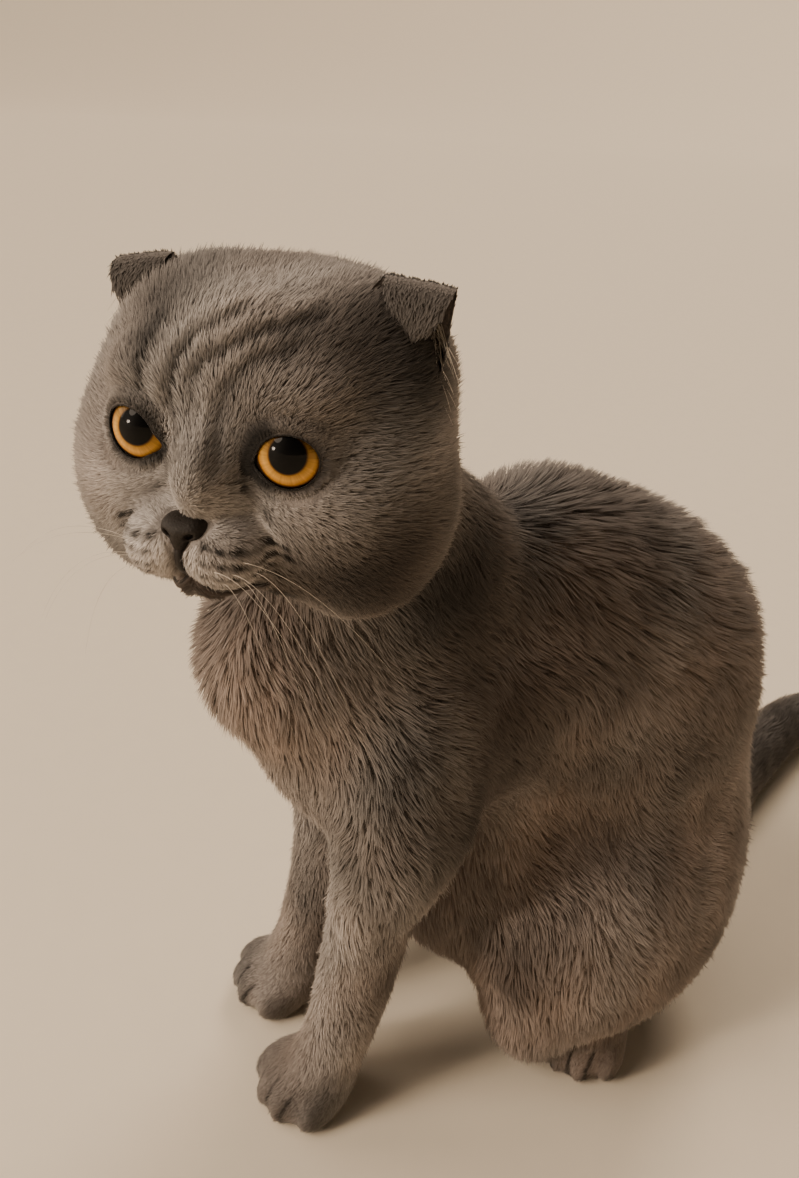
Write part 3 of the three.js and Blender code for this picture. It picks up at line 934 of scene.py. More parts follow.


# Shade of the coat, around 1: bumps for pale and dark places, less hills along the tear line, under the
# mouth, spots and toes' slits, times exp(change) with the change from the lists above and from the brow's
# lines. Part of
# it is painted shade and painted light: the band under the mouth, the toes' slits, the eyes' inner corners,
# the brow's lines and most of the lists
def coatTone(points, distances):
    q = toHead(points)
    f, l, u = q.T
    side = np.abs(l)
    beside = np.abs(l - muzzleShift[1])
    mirror = np.stack([f, side, u], axis=1)
    muzzle = np.stack([f, beside, u], axis=1)
    head = ease(-distances["head"], -16, -2)
    front = ease(f, 18, 34)
    tone = np.ones(len(points))
    face = np.zeros(len(points))
    face += 0.85 * bump(muzzle, (58, 11, -25), (14, 12, 10))
    face += 0.55 * bump(mirror, (47, 22, -11), (14, 13, 6))
    face += 0.45 * bump(mirror, (53, 0, -3), (16, 6.5, 11))
    face += 0.20 * bump(mirror, (34, 14, 22), (14, 16, 14))
    face -= 0.9 * hill(lineDistance(side, u, tearLine), 1.6) * front * (0.65 + 0.35 * drift(points, 5, 4))
    # A dark band under the mouth: partly the dark lower lip and chin, partly painted shadow under the pads
    face -= 1.0 * hill(lineDistance(beside, u, mouthLine - (0, 3.8)), 3.8) * front
    face -= 1.6 * hill(l + 3.0, 1.3) * ease(-u, 20, 22) * (1 - ease(-u, 31, 35)) * front
    for place, height in spotPlaces:
        across = (beside - place) / 1.7
        above = (u - height + 0.3 * (beside - place)) / 0.9
        face -= 1.6 * np.exp(-(across**2) - above**2) * front
    tone += face * head
    for eye in eyeFrames.values():
        e = toEye(points, eye)
        edge = openingDistance(e, eye)
        ahead = e[:, 0] > 1
        # Dark rims round the eyes, widened at the inner corners by painted shadow
        inner = ease(-eye["side"] * e[:, 1], 2, 8) * cornerShade[eye["side"]]
        tone -= 1.1 * hill(np.maximum(edge, 0), 1.0 + inner) * ahead
        tone += 0.25 * hill(e[:, 2] + 11, 4) * hill(e[:, 1], 11) * ahead
    for paw in paws.values():
        centre = np.array(onPaw(paw, -4, 0, 6))
        a = np.radians(paw["turn"])
        across = (points - centre) @ (np.cos(a), np.sin(a), 0)
        ahead = (points - centre) @ (np.sin(a), -np.cos(a), 0)
        near = 1 - ease(np.linalg.norm(points - centre, axis=1), 26, 34)
        # Painted shadow in the slits between the toes
        slit = np.min([np.abs(across - edge * (1 - 0.012 * (ahead - 12))) for edge in (-10, 0, 10)], axis=0)
        tone -= near * 0.08 * ease(ahead, -2, 10)
        tone -= near * 0.75 * hill(slit, 0.7) * ease(ahead, 11, 15)
    tone -= 0.45 * ease(points[:, 1], 225, 262)
    leg = np.maximum(ease(-distances["foreLegLeft"], -10, 0), ease(-distances["foreLegRight"], -10, 0))
    tone += 0.18 * leg * (1 - ease(points[:, 2], 110, 170))
    tone += (0.14 * drift(points, 60) + 0.10 * drift(points * (1, 1, 0.5), 15, 5)) * (1 - head)
    tone += 0.09 * drift(points, 26, 3)
    change = head * browLines(q, brow["furrowShade"], brow["ridgeShade"])
    for place, radii, amount in headToneAndPaintedLight:
        change += amount * bump(q, place, radii) * head
    for place, radii, amount in bodyToneAndPaintedLight:
        change += amount * bump(points, place, radii)
    return np.clip(np.maximum(tone, 0.08) * np.exp(change), 0.03, 3.2)


# Reddish share: bumps on the chest, the belly and the lower cheeks, a rise along the flank, and a hill at
# the mouth
def coatWarmth(points):
    warmth = 0.42 * bump(points, (0, -34, 215), (60, 34, 56)) + 0.25 * bump(points, (0, 70, 60), (70, 60, 50))
    warmth += 0.22 * ease(points[:, 1], 20, 60) * ease(points[:, 0], 10, 40)
    q = toHead(points)
    mouth = lineDistance(np.abs(q[:, 1] - muzzleShift[1]), q[:, 2], mouthLine - (0, 2.2))
    warmth += 0.5 * hill(mouth, 2.4) * (q[:, 0] > 24)
    warmth += 0.30 * bump(q, (30, 42, -34), (24, 22, 18)) - 0.12 * bump(q, (44, 0, -8), (30, 30, 30))
    return np.clip(0.10 + warmth + 0.08 * drift(points, 45, 5), 0, 0.7)


# Way that the hair lies: each part has its own flow, mixed by nearness with weights exp(-d / 6). It parts
# at the cleft under the nose, runs away from the eyes, and sways by smooth random angles
def coatLie(points, normals, distances):
    q = toHead(points)
    fromNose = q - (58, -2, -12)
    fromNose[:, 2] -= 0.25 * np.maximum(-q[:, 2], 0)
    flows = {
        "head": unit(fromNose) @ headTurn.T,
        "neck": np.broadcast_to((0.0, 0.45, -0.9), points.shape),
        "trunk": np.broadcast_to((0.0, 0.55, -0.83), points.shape),
        "foreLegLeft": np.broadcast_to((0.05, 0.12, -1.0), points.shape),
        "foreLegRight": np.broadcast_to((-0.05, 0.12, -1.0), points.shape),
    }
    for name, paw in paws.items():
        a = np.radians(paw["turn"])
        flows[name] = np.broadcast_to((np.sin(a), -np.cos(a), -0.45), points.shape)
    path = smoothPath(tailPath, 30)
    along = unit(np.gradient(path, axis=0))
    flows["tail"] = np.zeros(points.shape)
    behind = points[:, 1] > 195
    nearest = np.argmin(np.linalg.norm(points[behind][:, None] - path[None], axis=2), axis=1)
    flows["tail"][behind] = along[nearest]
    total = np.zeros(points.shape)
    least = np.min(list(distances.values()), axis=0)
    for name, flow in flows.items():
        total += np.exp(-(distances[name] - least) / 6)[:, None] * flow
    haunch = bump(points, (0, 120, 70), (400, 60, 60)) * ease(np.abs(points[:, 0]), 50, 80)
    total += haunch[:, None] * (0.0, -0.25, -0.35)
    lie = tangent(total, normals)
    beside = q[:, 1] - muzzleShift[1]
    nearCleft = hill(beside, 3.0) * ease(-q[:, 2], 17, 20) * ease(q[:, 0], 38, 44)
    leftward = tangent(headTurn @ np.array([0, 1.0, 0]), normals)
    lie = unit(lie + 1.6 * (nearCleft * np.sign(beside))[:, None] * leftward)
    for eye in eyeFrames.values():
        e = toEye(points, eye)
        near = hill(np.maximum(openingDistance(e, eye), 0), 4) * (e[:, 0] > 0)
        away = tangent(e * (0, 1, 1) @ turned(*eye["turn"]).T @ headTurn.T, normals)
        lie = unit(lie + 2.4 * near[:, None] * away)
    beside = np.cross(normals, lie)
    sway = 0.30 * drift(points, 34, 2) + 0.16 * drift(points, 13, 6)
    sway *= 1 - 0.4 * ease(-distances["head"], -10, 0)
    return unit(lie * np.cos(sway)[:, None] + beside * np.sin(sway)[:, None])


# Length, width, lift and clumping of the tufts: on the plain body, how much more on the back, chest and
# belly, and on the legs and feet
tuftSizes = {
    "body": (9.0, 0.64, 0.28, 0.22),
    "back": (8.0, 0, 0.26, 0.20),
    "chest": (3.0, 0, 0.12, 0.08),
    "belly": (3.5, 0, 0.14, 0.18),
    "legs": (5.8, 0.52, 0.26, 0.12),
    "feet": (3.2, 0.44, 0.24, 0.08),
    "hanging": 5.0,  # how much longer the hair is that hangs
}


# These sizes by where a tuft stands: body + sum of share times more, then moved to the head's, legs' and
# feet's by their shares, and shorter towards the eyes
def coatSizes(points, distances):
    q = toHead(points)
    head = ease(-distances["head"], -12, -1)
    length, width, lift, clump = (np.full(len(points), value) for value in tuftSizes["body"])
    back = ease(points[:, 1], 55, 110) * ease(points[:, 2], 185, 235)
    back = np.maximum(back, 0.6 * ease(points[:, 1], 170, 215) * ease(points[:, 2], 60, 150))
    chest = bump(points, (0, -30, 195), (70, 44, 62))
    belly = bump(points, (0, 76, 66), (80, 50, 44))
    for share, place in ((back, "back"), (chest, "chest"), (belly, "belly")):
        for target, more in zip((length, width, lift, clump), tuftSizes[place]):
            target += more * share
    legs = ["foreLegLeft", "foreLegRight"]
    leg = np.max([ease(-distances[name], -9, -1) for name in legs], axis=0)
    leg *= 1 - ease(points[:, 2], 70, 150)
    foot = np.max([ease(-distances[name], -9, -1) for name in paws], axis=0)
    foot *= 1 - ease(points[:, 2], 22, 40)
    toNose = np.linalg.norm(q - (58, 0, -14), axis=1)
    onHead = 2.2 + 3.6 * ease(toNose, 4, 60) + 1.2 * ease(toNose, 60, 100)
    for share, values in (
        (head, (onHead, 0.38 + 0.16 * ease(toNose, 10, 80), 0.33, 0.10)),
        (leg, tuftSizes["legs"]),
        (foot, tuftSizes["feet"]),
    ):
        for target, value in zip((length, width, lift, clump), values):
            target += (value - target) * share
    for eye in eyeFrames.values():
        e = toEye(points, eye)
        length *= np.where(e[:, 0] > 0, 0.4 + 0.6 * ease(openingDistance(e, eye), 0.5, 9), 1)
    return length, width, lift, clump


# Share 0..1 of the hair that hangs: low on the belly and haunches, not on the feet
def hangShare(points, distances):
    foot = np.max([ease(-distances[name], -7, -1) for name in paws], axis=0)
    foot *= 1 - ease(points[:, 2], 20, 34)
    low = 1 - ease(points[:, 2], 30, 72)
    return low * ease(points[:, 1], 48, 66) * (1 - ease(points[:, 1], 215, 235)) * (1 - foot)


# Where no tuft may stand: the eyes' openings, the nose, the lips and the soles, and on the skin what the
# lids cover
def isBare(points, normals, onLid):
    q = toHead(points)
    beside = np.abs(q[:, 1] - muzzleShift[1])
    bare = (points[:, 2] < 1.5) & (normals[:, 2] < -0.3)
    bare |= massField(q - muzzleShift - noseSink, noseMasses, 3) < 0.7
    bare |= (lineDistance(beside, q[:, 2], mouthLine - (0, 1.0)) < 0.9) & (q[:, 0] > 34)
    bare |= (np.abs(q[:, 1] + 2.9) < 1.1) & (q[:, 2] < -19) & (q[:, 2] > -31) & (q[:, 0] > 40)
    for eye in eyeFrames.values():
        e = toEye(points, eye)
        bare |= (openingDistance(e, eye) < np.where(onLid, 0.55, 4.4)) & (e[:, 0] > 0)
    return bare


# Skin
skinGrid = {"low": (-112, -84, -8), "high": (110, 500, 380), "step": 2.1, "band": 13}
skinVertices, skinFaces = surfaceOf(skinField, **skinGrid)
skinVertices = settle(skinField, skinVertices, 2, 0.8)
skinNormals = unit(gradientOf(skinField, skinVertices))
print("skin worked out:", len(skinFaces) * 2, "triangles")
skinDistances = partDistances(skinVertices)
meshPiece(
    "skin",
    skinVertices,
    skinFaces,
    skinMaterial,
    {
        "tone": coatTone(skinVertices, skinDistances) * 0.9,
        "warmth": coatWarmth(skinVertices),
        "along": np.full(len(skinVertices), 0.35),
        "strand": 0.5 + 0.3 * drift(skinVertices, 5, 1),
    },
    nodes=("torso", "neck", "head", "foreleg_left", "foreleg_right", "hindleg_left", "hindleg_right", "tail"),
)
print("skin made")

# Ears
earShape = {
    "root": ((4, 29, 38), (2, 52, 8)),  # inner and outer end of the line it stands on
    "bow": 16,
    "fold": {1: ((-4, 34, 43.5), (-3, 55.5, 42.5)), -1: ((-4, -34, 42), (-3, -53, 38.5))},
    "share": 0.6,  # of the sheet below the fold
    "forward": 8.5,
    "down": 12,
    "thickness": 1.2,
    "counts": (36, 44),
    "crestPaintedLight": {1: 0.8, -1: 0.1},  # painted light: how much paler the lit crest is painted, far more on the left ear
}


# An ear's sheet at s across and t up: the wall from its bowed root to the fold, then the flap, which goes
# forward by sin and down by 1 - cos of a quarter turn and narrows by sqrt(1 - (0.95 past)^2)
def earSheet(s, t, side):
    across = ((s + 1) / 2)[..., None]
    flip = np.array([1, side, 1])
    inner, outer = (np.array(p) * flip for p in earShape["root"])
    root = inner + (outer - inner) * across
    root[..., 0] -= earShape["bow"] * (1 - s * s)
    inner, outer = (np.array(p, float) for p in earShape["fold"][side])
    crest = inner + (outer - inner) * across
    wall = np.clip(t / earShape["share"], -1, 1)[..., None]
    below = root + (crest - root) * wall
    past = np.maximum(t - earShape["share"], 0) / (1 - earShape["share"])
    middle = (inner + outer) / 2
    narrowed = middle + (crest - middle) * np.sqrt(1 - (past * 0.95) ** 2)[..., None]
    over = earShape["forward"] * np.sin(past * np.pi / 2)
    drop = earShape["down"] * (1 - np.cos(past * np.pi / 2))
    flap = narrowed + np.stack([over, side * over * 0.1, -drop], axis=-1)
    return np.where((t > earShape["share"])[..., None], flap, below)


# A sheet with thickness: both faces at +-h/2 along the normal, closed round its rim
def sheetSolid(middle, normals, thickness):
    n, m = middle.shape[:2]
    top = middle + normals * thickness[..., None] / 2
    under = middle - normals * thickness[..., None] / 2
    vertices = np.concatenate([top.reshape(-1, 3), under.reshape(-1, 3)])
    faces = gridFaces(n, m)
    ids = np.arange(n * m).reshape(n, m)
    rim = np.concatenate([ids[:-1, 0], ids[-1, :-1], ids[:0:-1, -1], ids[0, :0:-1]])
    after = np.roll(rim, -1)
    wall = np.stack([rim, after, after + n * m, rim + n * m], axis=1)
    return vertices, np.concatenate([faces[:, ::-1], faces + n * m, wall[:, ::-1]])


earMeshes = {}
for name, side in sides.items():
    n, m = earShape["counts"]
    s, t = np.meshgrid(np.linspace(-1, 1, n), np.linspace(-0.35, 1, m), indexing="ij")
    here = earSheet(s, t, side)
    ds = earSheet(s + 0.02, t, side) - earSheet(s - 0.02, t, side)
    dt = earSheet(s, np.minimum(t + 0.02, 1), side) - earSheet(s, t - 0.02, side)
    normals = unit(np.cross(ds, dt))
    outward = np.sign(np.sum(normals[:, : m // 2].mean((0, 1)) * (-1, 0, 0.2)))
    thickness = earShape["thickness"] * np.sqrt(np.clip(1 - s**4, 0.05, 1))
    vertices, faces = sheetSolid(here, normals * outward, thickness)
    placed = fromHead(vertices)
    faces = outwardFaces(placed, faces)
    isTop = np.arange(len(vertices)) < n * m
    share = np.concatenate([t.ravel(), t.ravel()])
    # The under face darker and warmer: partly the ear's inner skin, partly painted shade in the cup. Below
    # the fold the flap is darkened as painted shade, and the crest is lightened as painted light
    tone = np.where(isTop, 0.9, 0.5)
    tone = tone - 0.5 * ease(share, earShape["share"] + 0.04, earShape["share"] + 0.14) * isTop
    tone = tone + earShape["crestPaintedLight"][side] * hill(share - earShape["share"] + 0.03, 0.07) * isTop
    attributes = {
        "tone": tone,
        "warmth": np.where(isTop, 0.05, 0.25),
        "along": np.full(len(vertices), 0.35),
        "strand": 0.5 + 0.3 * drift(placed, 5, 1),
    }
    meshPiece(f"ear_{name}", placed, faces, skinMaterial, attributes, nodes=(f"ear_{name}",))
    towardsTip = unit(np.concatenate([dt.reshape(-1, 3)] * 2)) @ headTurn.T
    earMeshes[name] = {"vertices": placed, "faces": faces, "lie": towardsTip, "top": isTop, "share": share}
    earMeshes[name]["tone"] = tone
print("ears made")

# Eyes
eyeLook = {
    "rings": 90,
    "around": 160,
    "iris": 9.4,  # radius
    "bulge": 0.5,
    "fibres": (46, 31, 73, 17),
    "colours": [  # from the middle of the pupil to the iris's rim
        (0.00, (0.002, 0.002, 0.002)),
        (0.53, (0.002, 0.002, 0.002)),
        (0.56, (0.10, 0.045, 0.006)),
        (0.61, (0.40, 0.20, 0.036)),
        (0.76, (0.62, 0.34, 0.070)),
        (0.88, (0.46, 0.21, 0.034)),
        (0.95, (0.06, 0.022, 0.006)),
        (1.00, (0.012, 0.007, 0.004)),
    ],
}
eyeMaterial, eyeShader = plainMaterial("eye", (0.5, 0.25, 0.06), 0.5, 0.05, 0.35)
tree = eyeMaterial.node_tree
ramp = tree.nodes.new("ShaderNodeValToRGB")
for i, (place, colour) in enumerate(eyeLook["colours"]):
    stop = ramp.color_ramp.elements[i] if i < 2 else ramp.color_ramp.elements.new(place)
    stop.position = place
    stop.color = (*colour, 1)
tree.links.new(attributeNode(tree, "radial"), ramp.inputs["Fac"])
brightness = mathNode(tree, "MULTIPLY_ADD", attributeNode(tree, "fibreAndLidShadow"), 0.5, 0.75)
tree.links.new(shaded(tree, ramp.outputs["Color"], brightness), eyeShader.inputs["Base Color"])


# Eyeball about its sight line: radius + bulge exp(-(a / 34)^2) at a degrees off the line. The iris's fibres
# are a mean of sines round it, with painted shadow of the lids: darker towards the edge of the opening and
# most under the upper lid
def eyeball(name, eye):
    rings, around = eyeLook["rings"], eyeLook["around"]
    radius = eyeShape["radius"]
    a = np.linspace(0, np.pi, rings + 1)[1:-1]
    turn = np.arange(around) / around * 2 * np.pi
    reach = radius + eyeLook["bulge"] * hill(np.degrees(a), 34)
    x = reach * np.cos(a)
    out = reach * np.sin(a)
    body = np.stack(
        [
            np.broadcast_to(x[:, None], (len(a), around)),
            out[:, None] * np.cos(turn),
            out[:, None] * np.sin(turn),
        ],
        axis=-1,
    ).reshape(-1, 3)
    vertices = np.concatenate([body, [[radius + eyeLook["bulge"], 0, 0], [-radius, 0, 0]]])
    radial = np.hypot(vertices[:, 1], vertices[:, 2]) / eyeLook["iris"]
    radial = np.where(vertices[:, 0] < 2, 1.0, np.minimum(radial, 1.0))
    angle = np.arctan2(vertices[:, 2], vertices[:, 1])
    phases = np.random.default_rng(5 + eye["side"]).uniform(0, 2 * np.pi, 4)
    sines = [np.sin(angle * count + phase + 2 * radial) for count, phase in zip(eyeLook["fibres"], phases)]
    fibreAndLidShadow = sum(sines) / 4
    fibreAndLidShadow = 0.5 + 0.4 * fibreAndLidShadow * ease(radial, 0.5, 0.65) * (1 - ease(radial, 0.85, 0.97))
    placed = fromEye(vertices, eye, eye["gaze"])
    edge = openingDistance(toEye(placed, eye), eye)
    above = toEye(placed, eye)[:, 2]
    # Painted shadow of the lids on the iris
    fibreAndLidShadow -= 1.25 * ease(edge, -5.0, -0.4) * ease(above, -2, 5.5) + 0.5 * ease(edge, -1.6, 0.6)
    look = {"radial": radial, "fibreAndLidShadow": fibreAndLidShadow}
    faces = cappedFaces(len(a), around)
    meshPiece(f"eye_{name}", placed, faces, eyeMaterial, look, nodes=(f"eye_{name}",))


for name, eye in eyeFrames.items():
    eyeball(name, eye)

# Lids, nose and lips
lidShape = {
    "around": 120,
    # how far outside the opening's edge, and how far over the ball or, on the back, under the front
    "front": [(0.0, 0.35), (0.12, 0.75), (0.45, 1), (1, 1.15), (1.8, 1.2), (2.8, 1.2), (4, 1.2), (5.6, 1.2)],
    "back": [(5.4, 1.6), (3.6, 1.8), (1.9, 1.6), (0.7, 1.2), (0.1, 0.5)],
}


# How far ahead the skin without its hollows lies in an eye's axes over places (y, z)
def skinAhead(y, z, eye):
    isInside = lambda x: plainSkin(fromEye(np.stack([x, y, z], axis=1), eye)) < 0
    return lastInside(isInside, np.full(len(y), -10.0), np.full(len(y), 30.0), 18)


# A lid ring: each row runs round the opening at its own distance, found by steps of 0.7 of what is left, on
# the ball near the edge and on the skin further out, and the back rows close it underneath
def lidRing(eye):
    a = np.arange(lidShape["around"]) / lidShape["around"] * 2 * np.pi
    rays = np.stack([np.zeros(len(a)), np.cos(a), np.sin(a)], axis=1)
    rows = []
    for rowNumber, (outside, over) in enumerate(lidShape["front"] + lidShape["back"]):
        reach = np.full(len(a), 8.0)
        for _ in range(30):
            reach -= 0.7 * (openingDistance(rays * reach[:, None], eye) - outside)
        y, z = (rays * reach[:, None])[:, 1:].T
        isFront = rowNumber < len(lidShape["front"])
        high = eyeShape["radius"] + (over if isFront else 1.0)
        onBall = np.sqrt(np.maximum(high**2 - np.minimum(reach, 10.6) ** 2, 1.0))
        share = ease(outside, 0.7, 5.4)
        x = onBall + share * (skinAhead(y, z, eye) - 1.0 * share - onBall)
        rows.append(np.stack([x if isFront else x - over, y, z], axis=1))
    vertices = np.stack(rows, axis=1).reshape(-1, 3)
    return vertices, gridFaces(len(a), len(rows), True, True)


lidMeshes = {}
for name, eye in eyeFrames.items():
    vertices, faces = lidRing(eye)
    placed = fromEye(vertices, eye)
    faces = outwardFaces(placed, faces)
    edge = openingDistance(vertices, eye)
    inner = ease(-eye["side"] * vertices[:, 1], 3, 8) * cornerShade[eye["side"]]
    lidTone = coatTone(placed, partDistances(placed))
    attributes = {
        # The lid's dark rim, its inner corner widened by painted shadow
        "tone": np.minimum(lidTone, 0.04 + 0.9 * ease(edge, 0.4 + 0.25 * inner, 1.4 + 0.8 * inner)),
        "warmth": np.full(len(vertices), 0.15),
        "along": np.full(len(vertices), 0.35),
        "strand": np.full(len(vertices), 0.5),
    }
    meshPiece(f"lid_{name}", placed, faces, skinMaterial, attributes)
    lidMeshes[name] = (placed, faces)

noseMaterial = unevenMaterial("noseLeather", (0.013, 0.010, 0.008), 0.6, 0.3, 1500, 0.35, 0.0004)


nostril = {"place": (58, 3.4, -17.4), "radii": (2.6, 1.7, 1.0), "turn": 30}
noseGrid = {"low": (45, -11, -26), "high": (64, 11, -6), "step": 0.45, "band": 6}


# Nose leather: its masses with an ellipsoid taken out for each nostril, -softMin(-d, hole)
def noseField(points):
    total = massField(points, noseMasses, 3)
    for side in sides.values():
        centre = np.array(nostril["place"]) * (1, side, 1)
        turn = side * nostril["turn"]
        total = -softMin(-total, blobDistance(points, centre, nostril["radii"], (turn, 0, turn)), 0.6)
    return total


noseVertices, noseFaces = surfaceOf(noseField, **noseGrid)
noseVertices = settle(noseField, noseVertices, 2, 0.2)
noseVertices = noseVertices + muzzleShift + noseSink
meshPiece("nose", fromHead(noseVertices), noseFaces, noseMaterial, nodes=("nose",))

# Lips: a dark line where they meet, and the lower lip's bare edge under it
lipMaterial = unevenMaterial("lips", (0.012, 0.009, 0.008), 0.6, 0.3, 900, 0.3, 0.0003)
lowerLipMaterial = unevenMaterial("lowerLip", (0.034, 0.024, 0.020), 0.6, 0.3, 900, 0.3, 0.0003)
lines, edges = [], []
for side in sides.values():
    line = smoothPath([(side * l, u, 0) for l, u in mouthLine], 26)
    shape = np.sqrt(np.clip(1 - np.linspace(0, 1, len(line)) ** 4, 0.08, 1))
    across = line[:, 0] + muzzleShift[1]
    lines.append(tube(onFace(across, line[:, 1], -1.5), 0.55 * shape, 8))
    edges.append(tube(onFace(across, line[:, 1] - 1.4, -2.1), 1.15 * shape, 8))
cleft = onFace(np.linspace(-2.7, -3.0, 8), np.linspace(-21.5, -31.5, 8), -1.0)
lines.append(tube(cleft, np.linspace(1.2, 1.0, 8), 8, flat=0.6, up=(1, 0, 0)))
for name, tubes, material in (("lips", lines, lipMaterial), ("lower_lip", edges, lowerLipMaterial)):
    vertices, faces = merged(tubes)
    meshPiece(name, fromHead(vertices), faces, material)
print("eyes, lids, nose and lips made")

# Tufts
tuftPlan = {
    "headCount": 122000,
    "bodyCount": 208000,
    "lidCount": 6500,
    "earCount": 12000,
    "perPiece": 48000,
    "patch": 0.003,
}


# Random places on triangles, as many per area as the weights say: p = a + r1 (b - a) + r2 (c - a)
def scatter(vertices, triangles, weights, count):
    a, b, c = (vertices[triangles[:, i]] for i in range(3))
    area = np.linalg.norm(np.cross(b - a, c - a), axis=1) * weights
    chosen = np.searchsorted(np.cumsum(area) / area.sum(), rng.random(count))
    chosen = np.minimum(chosen, len(triangles) - 1)
    r1, r2 = rng.random((2, count))
    over = r1 + r2 > 1
    r1, r2 = np.where(over, 1 - r1, r1), np.where(over, 1 - r2, r2)
    corners = np.stack([1 - r1 - r2, r1, r2], axis=1)
    return chosen, corners


# Unit normals of triangles: (b - a) x (c - a)
def faceNormals(vertices, triangles):
    a, b, c = (vertices[triangles[:, i]] for i in range(3))
    return unit(np.cross(b - a, c - a))


# A value per vertex, mixed for places on triangles by their shares of the three corners
def mixed(values, triangles, chosen, corners):
    found = values[triangles[chosen]]
    return np.einsum("nc,nc...->n...", corners, found)


# Pulls the tips of one clump towards their middle: tip + (middle - tip) strength. A clump is a cell of the
# given size in gently warped space
def clumped(roots, tips, strength, size):
    warped = roots + 0.35 * size * np.stack([drift(roots, size * 3.1, i) for i in (1, 4, 8)], axis=1)
    cells = np.floor(warped / size).astype(np.int64) + 4096
    keys = (cells[:, 0] * 8192 + cells[:, 1]) * 8192 + cells[:, 2]
    _, member, counts = np.unique(keys, return_inverse=True, return_counts=True)
    middle = np.stack([np.bincount(member, tips[:, i]) / counts for i in range(3)], axis=1)
    return tips + (middle[member] - tips) * strength[:, None]


# Where a root lies on the unwrap: its turn round the part's own axis, and how far along it, in the part's
# own tile
def unwrapAt(points, region):
    q = toHead(points)
    x, y, z = points.T
    uv = np.zeros((len(points), 2))
    tiles = {
        "head": (0.00, 0.62, 0.46, 0.36),
        "body": (0.00, 0.00, 0.62, 0.60),
        "legs": (0.64, 0.00, 0.34, 0.46),
        "tail": (0.64, 0.50, 0.34, 0.26),
        "ears": (0.50, 0.80, 0.46, 0.18),
    }
    around = {
        "head": np.arctan2(q[:, 1], q[:, 0] + 4) / (2 * np.pi) + 0.5,
        "body": np.arctan2(x, y - 95) / (2 * np.pi) + 0.5,
        "legs": 0.5 * (x > 0) + 0.25 * (np.arctan2(np.abs(x) - 30, y - 20) / np.pi + 1),
        "tail": np.arctan2(z - 20, x + 16 + (y - 256) * 0.36) / (2 * np.pi) + 0.5,
        "ears": 0.5 * (q[:, 1] > 0) + 0.5 * np.clip((np.abs(q[:, 1]) - 22) / 40, 0, 1),
    }
    along = {
        "head": np.arctan2(q[:, 2], np.hypot(q[:, 0] + 4, q[:, 1])) / np.pi + 0.5,
        "body": np.clip(z / 330, 0, 1),
        "legs": np.clip(z / 190, 0, 1),
        "tail": np.clip((y - 215) / 280, 0, 1),
        "ears": np.clip((q[:, 2] + 12) / 64, 0, 1),
    }
    for label, (left, bottom, width, height) in tiles.items():
        chosen = region == label
        uv[chosen, 0] = left + width * around[label][chosen]
        uv[chosen, 1] = bottom + height * along[label][chosen]
    return np.clip(uv, 0.002, 0.998)


# Tufts as closed leaves of four triangles: a root, two sides at 0.42 of the way, and a tip, with the line
# from root to tip as their ridge: sides = root + 0.42 (tip - root) -+ b w / 2 - n 0.12 w. They are shaded
# mostly by the skin's normal, as hair is: n' = 0.7 n + 0.3 of the leaf's own
def tuftMeshes(prefix, roots, tips, normals, width, look, region):
    forward = tips - roots
    beside = unit(np.cross(normals, forward))
    outward = unit(np.cross(forward, beside))
    middle = roots + forward * 0.42 - outward * width[:, None] * 0.12
    half = beside * width[:, None] / 2
    corners = np.stack([roots, middle - half, middle + half, tips], axis=1)
    corners[..., 2] = np.maximum(corners[..., 2], 0.2)
    tilted = [normals, normals - 0.45 * beside, normals + 0.45 * beside, normals + 0.2 * unit(forward)]
    shading = unit(0.7 * np.stack(tilted, axis=1) + 0.3 * outward[:, None])
    pattern = np.array([(0, 1, 3), (0, 3, 2), (0, 2, 1), (1, 2, 3)])
    along = np.array([0.0, 0.5, 0.5, 1.0])
    patchU = np.array([0.0, -0.5, 0.5, 0.0]) * tuftPlan["patch"]
    patchV = np.array([-0.5, 0.0, 0.0, 0.5]) * tuftPlan["patch"]
    for label in np.unique(region):
        members = np.flatnonzero(region == label)
        places = unwrapAt(roots[members], region[members])
        for number, start in enumerate(range(0, len(members), tuftPlan["perPiece"])):
            chosen = members[start : start + tuftPlan["perPiece"]]
            uv = places[start : start + tuftPlan["perPiece"]]
            count = len(chosen)
            faces = (pattern[None] + 4 * np.arange(count)[:, None, None]).reshape(-1, 3)
            attributes = {
                "tone": np.repeat(look["tone"][chosen], 4),
                "warmth": np.repeat(look["warmth"][chosen], 4),
                "strand": np.repeat(look["strand"][chosen], 4),
                "along": np.tile(along, count),
            }
            name = f"{prefix}_{label}_{number + 1}"
            made = meshPiece(name, corners[chosen].reshape(-1, 3), faces, tuftMaterial, attributes)
            perVertex = np.stack([uv[:, :1] + patchU[None], uv[:, 1:] + patchV[None]], axis=-1).reshape(-1, 2)
            facing = shading[chosen].reshape(-1, 3).astype(np.float32)
            made.data.normals_split_custom_set_from_vertices(facing)
            layer = made.data.uv_layers.new(name="OFBake")
            layer.data.foreach_set("uv", perVertex[faces.ravel()].astype(np.float32).ravel())


